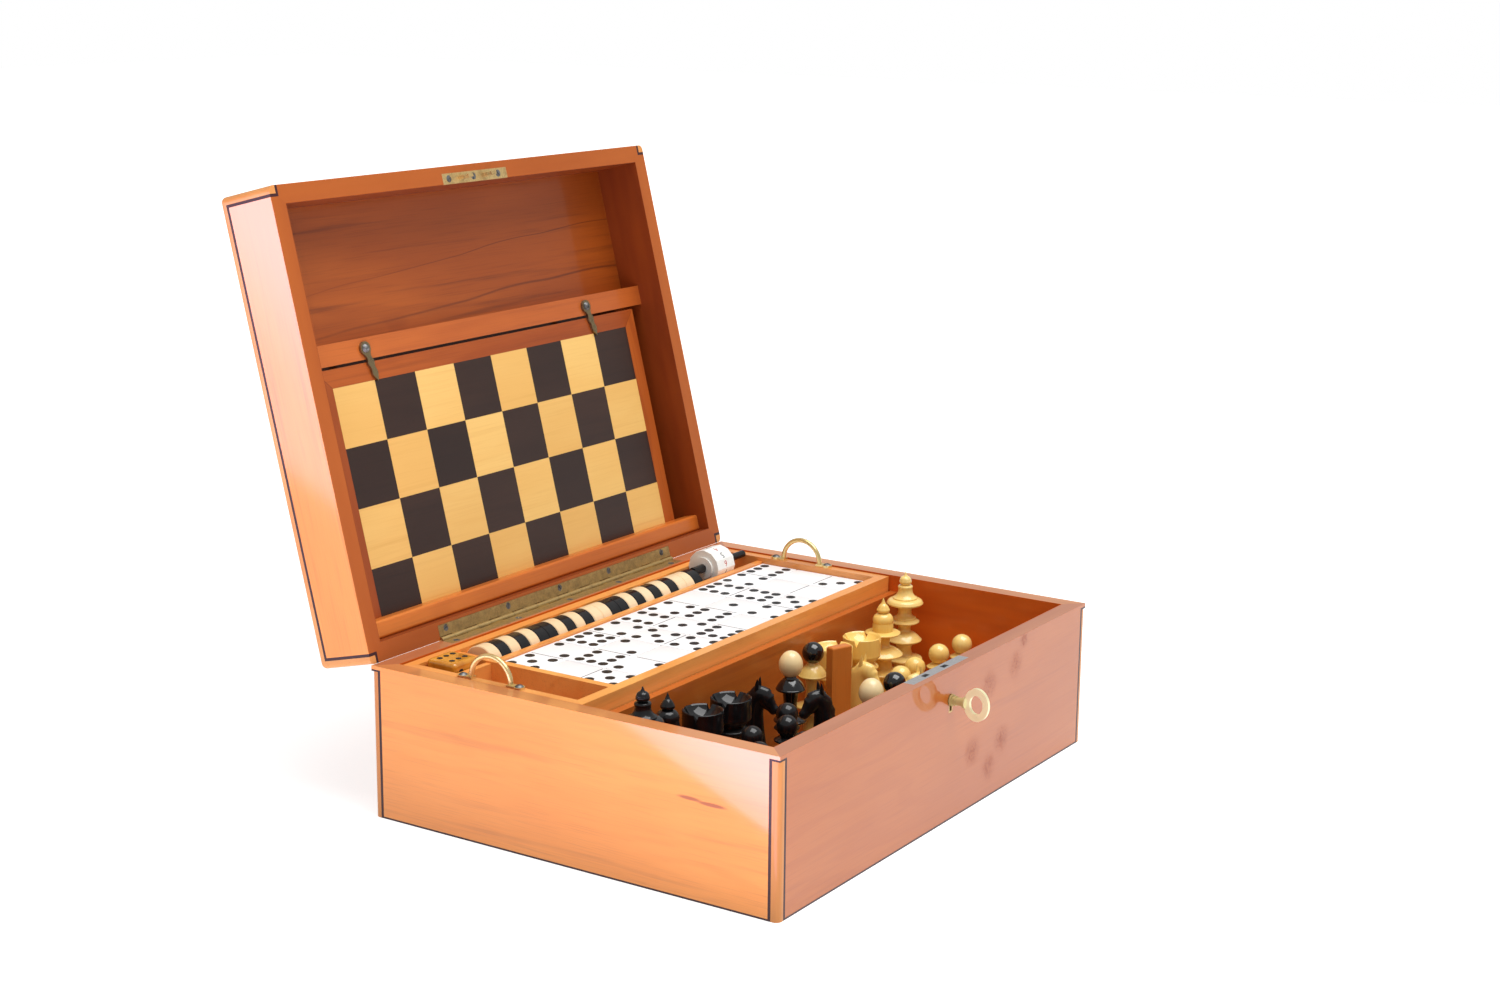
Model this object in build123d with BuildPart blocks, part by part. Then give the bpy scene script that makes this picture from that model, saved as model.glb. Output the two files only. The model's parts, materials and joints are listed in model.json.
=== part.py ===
"""Games compendium box with fitted tray, folding board, lock and pieces.

Millimetres, +Z up. X runs along the hinge, the lock faces -Y, the hinge is at +Y.
The origin is the centre of the underside. The lid is drawn standing open.
"""
import os
from math import acos, asin, cos, hypot, radians, sin, sqrt

from build123d import *

os.makedirs("parts", exist_ok=True)

# Case
LENGTH = 320.0          # outside, along the hinge
DEPTH = 248.0           # outside, front to back
BODY_HEIGHT = 81.5      # underside to rim
LID_HEIGHT = 36.2       # rim to top of lid
WALL = 10.0             # wall thickness, body and lid
BASE = 6.0              # bottom board
BASE_REBATE = 4.0       # how far the bottom board enters the walls
PANEL = 6.5             # lid panel, tongue included
PANEL_TONGUE = 1.0
LID_OPEN = 104.1        # degrees, set by the stopped hinge
LID_CLEARANCE = 0.1     # hinge axis above the rim, and lid rim beyond the axis

# Edge strips
BEAD = 4.3              # light-wood corner strip
STRING = 1.6            # dark line beside each bead
CORNER_RADIUS = 3.0
CAP_LINE = 1.0          # dark line over the top of each body bead
RIM_LIP = 1.8           # wall left whole above the cap line
FOOT_LINE = 1.0

HALF_X, HALF_Y = LENGTH / 2, DEPTH / 2
IN_X, IN_Y = HALF_X - WALL, HALF_Y - WALL      # inner faces of the walls

# Piano hinge
HINGE_LEFT, HINGE_RIGHT = 54.5, 54.0           # leaf ends from the case's ends
HINGE_X0, HINGE_X1 = -HALF_X + HINGE_LEFT, HALF_X - HINGE_RIGHT
LEAF_WIDTH = 8.0
LEAF = 1.2
BARREL_RADIUS = 1.6
PIN_RADIUS = 0.75
PIN_RUNNING = 0.05      # radial, in the lid's knuckles
BARREL_CLEARANCE = 0.3
KNUCKLES = 21
KNUCKLE_GAP = 0.15
LEAF_SCREW_SHARES = (0.028, 0.276, 0.494, 0.7125, 0.962)
LEAF_SCREWS = [HINGE_X0 + share * (HINGE_X1 - HINGE_X0) for share in LEAF_SCREW_SHARES]
LEAF_SCREW_LINE = 5.7   # from the hinge axis

# Lock, key and link plate
SELVEDGE_X0, SELVEDGE_X1 = -29.5, 28.5
SELVEDGE_WIDTH = 6.0
SELVEDGE = 1.5
LOCK_FLOOR = BODY_HEIGHT - 31.5
LOCK_SHEET = 1.0
LOCK_COVER = 1.2
KEY_X, KEY_DROP = 2.8, 15.7                    # key's axis, below the rim
KEY_Z = BODY_HEIGHT - KEY_DROP
KEY_RADIUS = 2.1
KEY_BORE = 1.2
DRILL_PIN = 1.1
KEYHOLE_RADIUS = 2.5
KEYHOLE_SLOT = 2.2
KEYHOLE_DROP = 5.9      # axis to the bottom of the slot
LINER = 0.8
BIT_RADIUS = 5.5
BOLT_THICK = 2.0
BOLT_BACK = 2.0         # bolt's back face from the inner wall face
HOOKS = (-12.3, 7.6)
HOOK_WIDTH, HOOK_THICK, HOOK_DROP = 4.2, 1.8, 7.2
BOLT_THROW = 3.0
LINK_X0, LINK_X1 = -28.0, 27.3
LINK_SCREWS = (-22.75, -1.8, 19.65)

# Folding board: reaches are from the hinge axis, levels above the lid's rim plane
BOARD_LEFT, BOARD_RIGHT = 12.4, 10.5           # from the lid's inner end faces
BOARD_X0, BOARD_X1 = -IN_X + BOARD_LEFT, IN_X - BOARD_RIGHT
BORDER_LEFT, BORDER_RIGHT, BORDER_TOP = 9.5, 10.0, 10.0
SQUARE = (BOARD_X1 - BOARD_X0 - BORDER_LEFT - BORDER_RIGHT) / 8
GRID_X = BOARD_X0 + BORDER_LEFT
BOARD_FOLD = WALL + 2.7
GRID_TOP = BOARD_FOLD + 4 * SQUARE
BOARD_TOP = GRID_TOP + BORDER_TOP
BOARD_LEAF = 6.45
LEAF_GAP = 0.05
BOARD_FACE = LID_HEIGHT - PANEL - 2 * (BOARD_LEAF + LEAF_GAP)
BOARD_CORNER = 4.0
INLAY = 0.6

# Lid fittings
BATTEN_NEAR = BOARD_TOP + 1.6
BATTEN_WIDTH = 11.6
BATTEN_FAR = BATTEN_NEAR + BATTEN_WIDTH
LEDGE_FACE = 7.2
LEDGE_NEAR, LEDGE_WIDTH = WALL, 9.5
LEDGE_FAR = LEDGE_NEAR + LEDGE_WIDTH
LEDGE_SEAT = BOARD_FOLD - 0.3
BUTTONS = ((BOARD_X0 + 38.5, BATTEN_NEAR + 5.8), (BOARD_X1 - 45.5, BATTEN_NEAR + 5.2))
BUTTON_LEAN = -14.6
BUTTON_THICK = 1.4

# Inner walls and tray
BAY_WALL_Y0, BAY_WALL = -8.0, 5.0
BAY_WALL_Y1 = BAY_WALL_Y0 + BAY_WALL
BAY_WALL_TOP = BODY_HEIGHT - 9.5
TRAY_PLAY = 0.8                                # round the tray, and below the rim
TRAY_X = IN_X - TRAY_PLAY
TRAY_Y0, TRAY_Y1 = BAY_WALL_Y1 + 1.0, IN_Y - TRAY_PLAY
TRAY_TOP = BODY_HEIGHT - TRAY_PLAY
TRAY_HEIGHT = 20.2
TRAY_BOTTOM = TRAY_TOP - TRAY_HEIGHT
TRAY_FLOOR = 3.0
TRAY_FLOOR_REBATE = 3.0
TRAY_SIDE, TRAY_FRONT = 6.0, 6.5
TRAY_IN_X = TRAY_X - TRAY_SIDE
TRAY_IN_Y0, TRAY_IN_Y1 = TRAY_Y0 + TRAY_FRONT, TRAY_Y1 - TRAY_SIDE
FLOOR_TOP = TRAY_BOTTOM + TRAY_FLOOR
RUNNER_WIDTH, RUNNER_HEIGHT, RUNNER_GAP = 6.0, 8.0, 0.1
ROLL_SLOT = 21.0                               # width of the draughts' slot
LONG_THICK, LONG_TOP = 3.6, TRAY_TOP - 2.4
LONG_Y0, LONG_Y1 = TRAY_IN_Y1 - ROLL_SLOT - LONG_THICK, TRAY_IN_Y1 - ROLL_SLOT
DIE_CELL = 28.9                                # length of the left cells
CROSS_THICK, CROSS_TOP = 4.8, TRAY_TOP - 1.4
CROSS_X0, CROSS_X1 = -TRAY_IN_X + DIE_CELL, -TRAY_IN_X + DIE_CELL + CROSS_THICK
HANDLE_X, HANDLE_Y = TRAY_X - TRAY_SIDE / 2, (TRAY_Y0 + TRAY_Y1) / 2 + 1.05
HANDLE_RADIUS, HANDLE_WIRE = 12.65, 1.4
HANDLE_FOOT = 1.4
HANDLE_SCREW = HANDLE_RADIUS + 5.4             # from the handle's centre
HANDLE_SCREW_LONG = 10.0

# Tray pieces
TILE_X, TILE_Y = CROSS_X1 + 0.2, LONG_Y0 - 0.3   # field's left and back edges
TILE_PITCH = min((TRAY_IN_X - 0.5 - TILE_X) / 10, (TILE_Y - TRAY_IN_Y0) / 3)
TILE_GAP = 0.3
TILE_LONG, TILE_WIDE, TILE_THICK = 2 * TILE_PITCH - TILE_GAP, TILE_PITCH - TILE_GAP, 4.6
TILE_LAYERS = 3
TILE_LEVEL = TILE_THICK + 0.02                 # from one layer to the next
TILES = (  # column, row, lies along X
    (0, 0, True), (2, 0, True), (4, 0, False), (5, 0, True), (7, 0, False),
    (8, 0, True), (0, 1, False), (1, 1, True), (3, 1, False), (5, 1, True),
    (8, 1, False), (9, 1, False), (1, 2, True), (4, 2, True), (6, 2, True))
ROLL = "LDLDLDDLDLDLLDDLDLDLDLLD"
ROLL_X, ROLL_Y = CROSS_X1 + 2.5, (LONG_Y1 + TRAY_IN_Y1) / 2
SPINNER_X0, SPINNER_LONG = TRAY_IN_X - 43.2, 17.5
SPINNER_X1 = SPINNER_X0 + SPINNER_LONG
SPINNER_BOSS = 1.0
SPINDLE_X0, SPINDLE_X1 = SPINNER_X0 - 11.5, TRAY_IN_X - 1.2
SPINNER_Y, SPINNER_Z = ROLL_Y - 0.5, TRAY_TOP + 0.7
SPINNER_RADIUS = ROLL_SLOT / 2 + 0.2
SPINDLE, SPINDLE_HEAD = 2.2, 2.6
DRAUGHT_RADIUS = ROLL_SLOT / 2 - 0.55
DRAUGHT_PITCH = (SPINDLE_X0 - 1.1 - ROLL_X) / len(ROLL)
DRAUGHT_GAP = 0.05
DIE = ROLL_SLOT - 1.7
DIE_X, DIE_Y = -TRAY_IN_X + 14.7, ROLL_Y

# Chess bay: places are drawn for a bay of this half length and depth, and follow the bay
DRAWN_X, DRAWN_Y = 150.0, 106.0
SPREAD_X, SPREAD_Y = IN_X / DRAWN_X, (IN_Y + BAY_WALL_Y0) / DRAWN_Y
MAN = min(SPREAD_X, SPREAD_Y)                  # size of the men in that bay
SLAT_AT, SLAT_TURN = (31.3, -31.7), -21.4
SLAT_WIDE, SLAT_THICK, SLAT_TOP = 13.0 * MAN, 5.6 * MAN, BAY_WALL_TOP + 1.5

LIGHT_AT = {
    "king": ((130.5, -16.0),),
    "queen": ((105.5, -16.0),),
    "bishops": ((30.1, -15.9), (7.5, -80.0)),
    "knights": ((49.6, -34.8, -85), (50.6, -72.1, 145)),
    "rooks": ((81.9, -16.0), (56.3, -13.0)),
    "pawns": ((137.8, -50.0), (113.2, -48.5), (83.2, -49.9), (64.0, -51.8),
              (38.0, -95.5), (115.0, -90.0), (86.0, -92.0), (62.0, -95.0)),
}
DARK_AT = {
    "king": ((-133.2, -19.5),),
    "queen": ((-108.7, -17.0),),
    "bishops": ((2.6, -19.0), (-15.2, -79.3)),
    "knights": ((-19.8, -11.5, -75), (-6.0, -44.0, 145)),
    "rooks": ((-78.4, -17.6), (-53.1, -17.8)),
    "pawns": ((-69.3, -41.5), (-44.5, -46.8), (-27.5, -36.0), (-62.0, -68.0),
              (-88.0, -58.0), (-36.0, -90.0), (-112.0, -88.0), (-84.0, -90.0)),
}

EDGE = BEAD + STRING
ANGLE = radians(LID_OPEN)
HINGE_Z = BODY_HEIGHT + LID_CLEARANCE
LID_RIM = LID_CLEARANCE
LID_SHOULDER = LID_HEIGHT - EDGE

BODY = Plane.XY
# The lid is drawn as if closed, in a plane carried round with it.
LID = Plane(origin=(0, HALF_Y - HALF_Y * cos(ANGLE), HINGE_Z + HALF_Y * sin(ANGLE)),
            x_dir=(1, 0, 0), z_dir=(0, sin(ANGLE), cos(ANGLE)))


def spot(frame, x, y, z, turn=0.0):
    """Plane at a point of a frame, turned about the frame's normal."""
    origin = frame.from_local_coords(Vector(x, y, z))
    along = frame.x_dir.rotate(Axis((0, 0, 0), frame.z_dir), turn)
    return Plane(origin=origin, x_dir=along, z_dir=frame.z_dir)


def facing_out(frame):
    """Same plane turned over, for what is driven in from the rim."""
    return Plane(origin=frame.origin, x_dir=frame.x_dir, z_dir=-frame.z_dir)


def upright(frame):
    """Plane standing on a frame: its Y runs along the frame's normal."""
    return Plane(origin=frame.origin, x_dir=frame.x_dir, z_dir=-frame.y_dir)


def block(x0, x1, y0, y1, z0, z1, mode=Mode.ADD, frame=BODY):
    """Plain block between limits."""
    with BuildSketch(frame.offset(z0)) as face:
        with Locations(((x0 + x1) / 2, (y0 + y1) / 2)):
            Rectangle(x1 - x0, y1 - y0)
    extrude(face.sketch, amount=z1 - z0, mode=mode)


def prism(points, z0, z1, mode=Mode.ADD, frame=BODY):
    """Straight prism on a closed outline."""
    with BuildSketch(frame.offset(z0)) as face:
        with BuildLine():
            Polyline(*points, close=True)
        make_face()
    extrude(face.sketch, amount=z1 - z0, mode=mode)


def disc(x, y, z0, z1, radius, mode=Mode.ADD, frame=BODY):
    """Round peg or hole along a frame's normal."""
    with BuildSketch(frame.offset(z0)) as face:
        with Locations((x, y)):
            Circle(radius)
    extrude(face.sketch, amount=z1 - z0, mode=mode)


def turned(profile, frame, mode=Mode.ADD):
    """Revolve (radius, height[, bulge]) steps about a frame's normal."""
    with BuildSketch(upright(frame)) as face:
        with BuildLine():
            last = (0.0, profile[0][1])
            for step in profile:
                point = step[:2]
                bulge = step[2] if len(step) > 2 else 0.0
                if point == last:
                    continue
                if bulge:
                    run, rise = point[0] - last[0], point[1] - last[1]
                    span = hypot(run, rise)
                    middle = ((last[0] + point[0]) / 2 + bulge * rise / span,
                              (last[1] + point[1]) / 2 - bulge * run / span)
                    ThreePointArc(last, middle, point)
                else:
                    Line(last, point)
                last = point
            if last[0] > 0:
                Line(last, (0, last[1]))
            Line((0, last[1]), (0, profile[0][1]))
        make_face()
    revolve(face.sketch, axis=Axis(frame.origin, frame.z_dir), mode=mode)


def cap(radius, height):
    """Bulge of the arc that closes a profile with a true spherical cap."""
    sphere = (radius ** 2 + height ** 2) / (2 * height)
    return sphere * (1 - cos(asin(radius / sphere) / 2))


def ball(neck, centre, radius):
    """Steps that close a profile with a ball on a neck."""
    low = centre - sqrt(radius ** 2 - neck ** 2)
    half = acos(neck / radius) / 2
    return [(neck, low), (radius, centre, radius * (1 - cos(half))),
            (0.0, centre + radius, radius * (1 - cos(radians(45))))]


def x_wall(sign, frame, z0, z1):
    """Front or back wall of the case, mitred at both ends."""
    prism([(-HALF_X, sign * HALF_Y), (HALF_X, sign * HALF_Y),
           (IN_X, sign * IN_Y),
           (-IN_X, sign * IN_Y)], z0, z1, frame=frame)


def y_wall(sign, frame, z0, z1):
    """End wall of the case, mitred at both ends."""
    prism([(sign * HALF_X, -HALF_Y), (sign * HALF_X, HALF_Y),
           (sign * IN_X, IN_Y),
           (sign * IN_X, -IN_Y)], z0, z1, frame=frame)


def corners(size, z0, z1, mode, frame=BODY):
    """Square column in each outside corner of the case."""
    for sx in (-1, 1):
        for sy in (-1, 1):
            prism([(sx * HALF_X, sy * HALF_Y), (sx * (HALF_X - size), sy * HALF_Y),
                   (sx * (HALF_X - size), sy * (HALF_Y - size)),
                   (sx * HALF_X, sy * (HALF_Y - size))], z0, z1, mode, frame)


def corner_beads(z0, z1, frame=BODY):
    """Four corner strips with a rounded outer edge."""
    for sx in (-1, 1):
        for sy in (-1, 1):
            x, y = sx * HALF_X, sy * HALF_Y
            soft = CORNER_RADIUS * (1 - cos(radians(45)))
            with BuildSketch(frame.offset(z0)) as face:
                with BuildLine():
                    Polyline((x - sx * CORNER_RADIUS, y), (x - sx * BEAD, y),
                             (x - sx * BEAD, y - sy * BEAD), (x, y - sy * BEAD),
                             (x, y - sy * CORNER_RADIUS))
                    ThreePointArc((x, y - sy * CORNER_RADIUS),
                                  (x - sx * soft, y - sy * soft),
                                  (x - sx * CORNER_RADIUS, y))
                make_face()
            extrude(face.sketch, amount=z1 - z0)


def foot_line(mode):
    """Dark line let into the bottom outside edge, between the beads."""
    x, y = HALF_X - EDGE, HALF_Y - EDGE
    for sign in (-1, 1):
        edge = sorted((sign * HALF_Y, sign * (HALF_Y - STRING)))
        block(-x, x, edge[0], edge[1], 0, FOOT_LINE, mode)
        edge = sorted((sign * HALF_X, sign * (HALF_X - STRING)))
        block(edge[0], edge[1], -y, y, 0, FOOT_LINE, mode)


def base_rebate():
    """Seat for the bottom board."""
    block(-IN_X - BASE_REBATE, IN_X + BASE_REBATE,
          -IN_Y - BASE_REBATE, IN_Y + BASE_REBATE,
          0, BASE, Mode.SUBTRACT)


def screw(frame, head, depth, shank, length, dome=0.0, slot=0.0, mode=Mode.ADD):
    """Slotted screw driven against a frame's normal; also cuts its own seat."""
    profile = [(0.0, -length), (shank * 0.3, -length), (shank, -length + 2 * shank),
               (shank, -depth), (head, 0.0)]
    if dome:
        profile += [(0.0, dome, cap(head, dome))]
    turned(profile, frame, mode)
    if mode == Mode.ADD:
        block(-head, head, -0.25, 0.25, dome - 0.45, dome + 0.2, Mode.SUBTRACT,
              spot(frame, 0, 0, 0, slot))


def knuckle_spans(first):
    """X limits of every second knuckle of the hinge."""
    pitch = (HINGE_X1 - HINGE_X0) / KNUCKLES
    for index in range(first, KNUCKLES, 2):
        start = HINGE_X0 + index * pitch
        yield start + KNUCKLE_GAP / 2, start + pitch - KNUCKLE_GAP / 2


def along_x(x0, x1, y, z, radius, mode=Mode.ADD):
    """Round bar or bore parallel to the hinge."""
    with BuildSketch(Plane(origin=(x0, y, z), x_dir=(0, 1, 0), z_dir=(1, 0, 0))) as face:
        Circle(radius)
    extrude(face.sketch, amount=x1 - x0, mode=mode)


def along_y(x, z, y0, y1, radius, mode=Mode.ADD):
    """Round bar or bore running front to back."""
    with BuildSketch(Plane(origin=(x, y0, z), x_dir=(1, 0, 0), z_dir=(0, 1, 0))) as face:
        Circle(radius)
    extrude(face.sketch, amount=y1 - y0, mode=mode)


def leaf(frame, z0, z1, first, bore):
    """One hinge leaf with its knuckles."""
    cut = BARREL_RADIUS + BARREL_CLEARANCE
    block(HINGE_X0, HINGE_X1, HALF_Y - LEAF_WIDTH, HALF_Y - cut, z0, z1, frame=frame)
    for x0, x1 in knuckle_spans(first):
        block(x0, x1, HALF_Y - cut, HALF_Y, z0, z1, frame=frame)
        along_x(x0, x1, HALF_Y, HINGE_Z, BARREL_RADIUS)
        along_x(x0, x1, HALF_Y, HINGE_Z, bore, Mode.SUBTRACT)


def leaf_seat(frame, z0, z1):
    """Recess for a hinge leaf and clearance round the barrel."""
    block(HINGE_X0 - 0.1, HINGE_X1 + 0.1, HALF_Y - LEAF_WIDTH - 0.1, HALF_Y + 1,
          z0, z1, Mode.SUBTRACT, frame)
    along_x(HINGE_X0 - 0.1, HINGE_X1 + 0.1, HALF_Y, HINGE_Z,
            BARREL_RADIUS + BARREL_CLEARANCE, Mode.SUBTRACT)


def keyhole(y0, y1, grow=0.0, mode=Mode.SUBTRACT):
    """Keyhole outline, round above a slot, run front to back."""
    along_y(KEY_X, KEY_Z, y0, y1, KEYHOLE_RADIUS + grow, mode)
    half = KEYHOLE_SLOT / 2 + grow
    block(KEY_X - half, KEY_X + half, y0, y1, KEY_Z - KEYHOLE_DROP - grow, KEY_Z, mode)


FRONT = -HALF_Y
LOCK_BACK = FRONT + WALL                    # inner face of the front wall
LOCK_FRONT = LOCK_BACK - SELVEDGE_WIDTH
LOCK_MIDDLE = (LOCK_FRONT + LOCK_BACK) / 2

# ---------------------------------------------------------------- box body
BEAD_TOP = BODY_HEIGHT - RIM_LIP

with BuildPart() as box_front_wall:
    x_wall(-1, BODY, 0, BODY_HEIGHT)
    corners(EDGE, 0, BEAD_TOP, Mode.SUBTRACT)
    foot_line(Mode.SUBTRACT)
    base_rebate()
    block(SELVEDGE_X0, SELVEDGE_X1, LOCK_FRONT, LOCK_BACK,
          LOCK_FLOOR, BODY_HEIGHT, Mode.SUBTRACT)
    keyhole(FRONT, LOCK_FRONT)
    keyhole(FRONT, FRONT + 2, LINER)

with BuildPart() as box_back_wall:
    x_wall(1, BODY, 0, BODY_HEIGHT)
    corners(EDGE, 0, BEAD_TOP, Mode.SUBTRACT)
    foot_line(Mode.SUBTRACT)
    base_rebate()
    leaf_seat(BODY, BODY_HEIGHT - LEAF, BODY_HEIGHT)

with BuildPart() as box_end_walls:
    for side in (-1, 1):
        y_wall(side, BODY, 0, BODY_HEIGHT)
    corners(EDGE, 0, BEAD_TOP, Mode.SUBTRACT)
    foot_line(Mode.SUBTRACT)
    base_rebate()

with BuildPart() as box_bottom:
    block(-IN_X - BASE_REBATE, IN_X + BASE_REBATE,
          -IN_Y - BASE_REBATE, IN_Y + BASE_REBATE, 0, BASE)

with BuildPart() as box_corner_beads:
    corner_beads(0, BEAD_TOP - CAP_LINE)

with BuildPart() as box_stringing:
    corners(EDGE, 0, BEAD_TOP, Mode.ADD)
    corners(BEAD, 0, BEAD_TOP - CAP_LINE, Mode.SUBTRACT)
    foot_line(Mode.ADD)

with BuildPart() as compartment_wall:
    block(-IN_X, IN_X, BAY_WALL_Y0, BAY_WALL_Y1, BASE, BAY_WALL_TOP)

with BuildPart() as tray_runners:
    for side in (-1, 1):
        limits = sorted((side * IN_X, side * (IN_X - RUNNER_WIDTH)))
        block(limits[0], limits[1], BAY_WALL_Y1, IN_Y,
              TRAY_BOTTOM - RUNNER_GAP - RUNNER_HEIGHT, TRAY_BOTTOM - RUNNER_GAP)

# ---------------------------------------------------------------- hinge
SCREW_Y = HALF_Y - LEAF_SCREW_LINE

with BuildPart() as hinge_box_leaf:
    leaf(BODY, BODY_HEIGHT - LEAF, BODY_HEIGHT, 0, PIN_RADIUS)
    for x in LEAF_SCREWS:
        screw(spot(BODY, x, SCREW_Y, BODY_HEIGHT), 1.9, LEAF, 1.0, 9, mode=Mode.SUBTRACT)

with BuildPart() as hinge_lid_leaf:
    leaf(LID, LID_RIM, LID_RIM + LEAF, 1, PIN_RADIUS + PIN_RUNNING)
    for x in LEAF_SCREWS:
        screw(facing_out(spot(LID, x, SCREW_Y, LID_RIM)), 1.9, LEAF, 1.0, 9,
              mode=Mode.SUBTRACT)

with BuildPart() as hinge_pin:
    along_x(HINGE_X0, HINGE_X1, HALF_Y, HINGE_Z, PIN_RADIUS)

with BuildPart() as hinge_box_screws:
    for index, x in enumerate(LEAF_SCREWS):
        screw(spot(BODY, x, SCREW_Y, BODY_HEIGHT), 1.9, LEAF, 1.0, 9, slot=37 * index)

with BuildPart() as hinge_lid_screws:
    for index, x in enumerate(LEAF_SCREWS):
        screw(facing_out(spot(LID, x, SCREW_Y, LID_RIM)), 1.9, LEAF, 1.0, 9,
              slot=15 + 53 * index)

# ---------------------------------------------------------------- lock
LOCK_SCREWS = [(x, z) for z in (LOCK_FLOOR + 4.0, BODY_HEIGHT - 5.3)
               for x in (SELVEDGE_X0 + 3.5, SELVEDGE_X1 - 3.5)]
STUDS = (-9.0, 12.0)
STUD_RADIUS, STUD_RUNNING = 1.05, 0.15
STUD_Z = KEY_Z + 5.2
COVER_FRONT = LOCK_BACK - LOCK_COVER
LOCK_SCREW_LONG = SELVEDGE_WIDTH + 2.4

with BuildPart() as lock_case:
    block(SELVEDGE_X0, SELVEDGE_X1, LOCK_FRONT, LOCK_BACK,
          LOCK_FLOOR, BODY_HEIGHT)
    block(SELVEDGE_X0 + LOCK_SHEET, SELVEDGE_X1 - LOCK_SHEET, LOCK_FRONT + LOCK_SHEET,
          COVER_FRONT, LOCK_FLOOR + LOCK_SHEET, BODY_HEIGHT - SELVEDGE, Mode.SUBTRACT)
    block(SELVEDGE_X0, SELVEDGE_X1, COVER_FRONT, LOCK_BACK,
          LOCK_FLOOR, BODY_HEIGHT - SELVEDGE, Mode.SUBTRACT)
    keyhole(LOCK_FRONT, LOCK_FRONT + LOCK_SHEET)
    for x in HOOKS:
        wide, deep = HOOK_WIDTH / 2 + 0.5, HOOK_THICK / 2 + 0.45
        block(x - wide, x + wide, LOCK_MIDDLE - deep, LOCK_MIDDLE + deep,
              BODY_HEIGHT - SELVEDGE, BODY_HEIGHT, Mode.SUBTRACT)
    for x, z in LOCK_SCREWS:
        along_y(x, z, LOCK_FRONT, LOCK_BACK, 1.0, Mode.SUBTRACT)

with BuildPart() as lock_cover_plate:
    block(SELVEDGE_X0, SELVEDGE_X1, COVER_FRONT, LOCK_BACK,
          LOCK_FLOOR, BODY_HEIGHT - SELVEDGE)
    for x, z in LOCK_SCREWS:
        screw(Plane(origin=(x, LOCK_BACK, z), x_dir=(1, 0, 0), z_dir=(0, 1, 0)),
              1.9, LOCK_COVER, 1.0, LOCK_SCREW_LONG, mode=Mode.SUBTRACT)
    along_y(KEY_X, KEY_Z, LOCK_FRONT + LOCK_SHEET + 0.4, COVER_FRONT, DRILL_PIN)
    for x in STUDS:
        along_y(x, STUD_Z, LOCK_FRONT + LOCK_SHEET + 0.1, COVER_FRONT, STUD_RADIUS)

BOLT_Y0, BOLT_Y1 = LOCK_BACK - BOLT_BACK - BOLT_THICK, LOCK_BACK - BOLT_BACK
RAIL_Z0, RAIL_Z1 = KEY_Z + 3.1, KEY_Z + 7.3
CLAW_TOP = BODY_HEIGHT - SELVEDGE - 2.8
TALON_Z0, TALON_Z1 = KEY_Z - 8.2, KEY_Z - 6.3
with BuildPart() as lock_bolt:
    block(-22, 16, BOLT_Y0, BOLT_Y1, RAIL_Z0, RAIL_Z1)
    for x in HOOKS:
        back = x - HOOK_WIDTH / 2 - 2.4 - BOLT_THROW
        block(back, back + 2.5, BOLT_Y0, BOLT_Y1, RAIL_Z1, CLAW_TOP)
        block(back, back + 5.0, BOLT_Y0, BOLT_Y1, CLAW_TOP - 1.2, CLAW_TOP)
    block(KEY_X + 3.4, KEY_X + 7.4, BOLT_Y0, BOLT_Y1, TALON_Z0, RAIL_Z0)
    block(KEY_X - 3.3, KEY_X + 3.4, BOLT_Y0, BOLT_Y1, TALON_Z0, TALON_Z1)
    block(KEY_X - 3.3, KEY_X - 1.1, BOLT_Y0, BOLT_Y1, TALON_Z1, KEY_Z - 3.4)
    slot = STUD_RADIUS + STUD_RUNNING
    for x in STUDS:
        block(x - slot - 0.1 - BOLT_THROW, x + slot + 0.1, BOLT_Y0, BOLT_Y1,
              STUD_Z - slot, STUD_Z + slot, Mode.SUBTRACT)

with BuildPart() as lock_screws:
    for index, (x, z) in enumerate(LOCK_SCREWS):
        screw(Plane(origin=(x, LOCK_BACK, z), x_dir=(1, 0, 0), z_dir=(0, 1, 0)),
              1.9, LOCK_COVER, 1.0, LOCK_SCREW_LONG, slot=40 * index)

with BuildPart() as keyhole_liner:
    keyhole(FRONT, FRONT + 2, LINER, Mode.ADD)
    keyhole(FRONT, FRONT + 2)

BOW_Y, BOW_LONG, BOW_HIGH = FRONT - 15.0, 14.0, 17.4
KEY_TIP = COVER_FRONT - 0.4
KEY_RINGS = ((1.4, 0.3, 3.1), (3.3, 2.5, 2.6), (9.0, 7.6, 3.0))   # out, in, radius
with BuildPart() as key:
    along_y(KEY_X, KEY_Z, BOW_Y + BOW_LONG / 2 - 0.8, KEY_TIP, KEY_RADIUS)
    for out, near, radius in KEY_RINGS:
        along_y(KEY_X, KEY_Z, FRONT - out, FRONT - near, radius)
    along_y(KEY_X, KEY_Z, LOCK_FRONT + LOCK_SHEET, KEY_TIP, KEY_BORE, Mode.SUBTRACT)
    block(KEY_X - 0.8, KEY_X + 0.8, BOLT_Y0 - 0.2, BOLT_Y1,
          KEY_Z - BIT_RADIUS, KEY_Z - KEY_BORE - 0.3)
    with BuildSketch(Plane(origin=(KEY_X - 1.05, BOW_Y, KEY_Z), x_dir=(0, 1, 0),
                           z_dir=(1, 0, 0))) as bow:
        Ellipse(BOW_LONG / 2, BOW_HIGH / 2)
        Ellipse(3.8, 5.0, mode=Mode.SUBTRACT)
    extrude(bow.sketch, amount=2.1)

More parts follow.
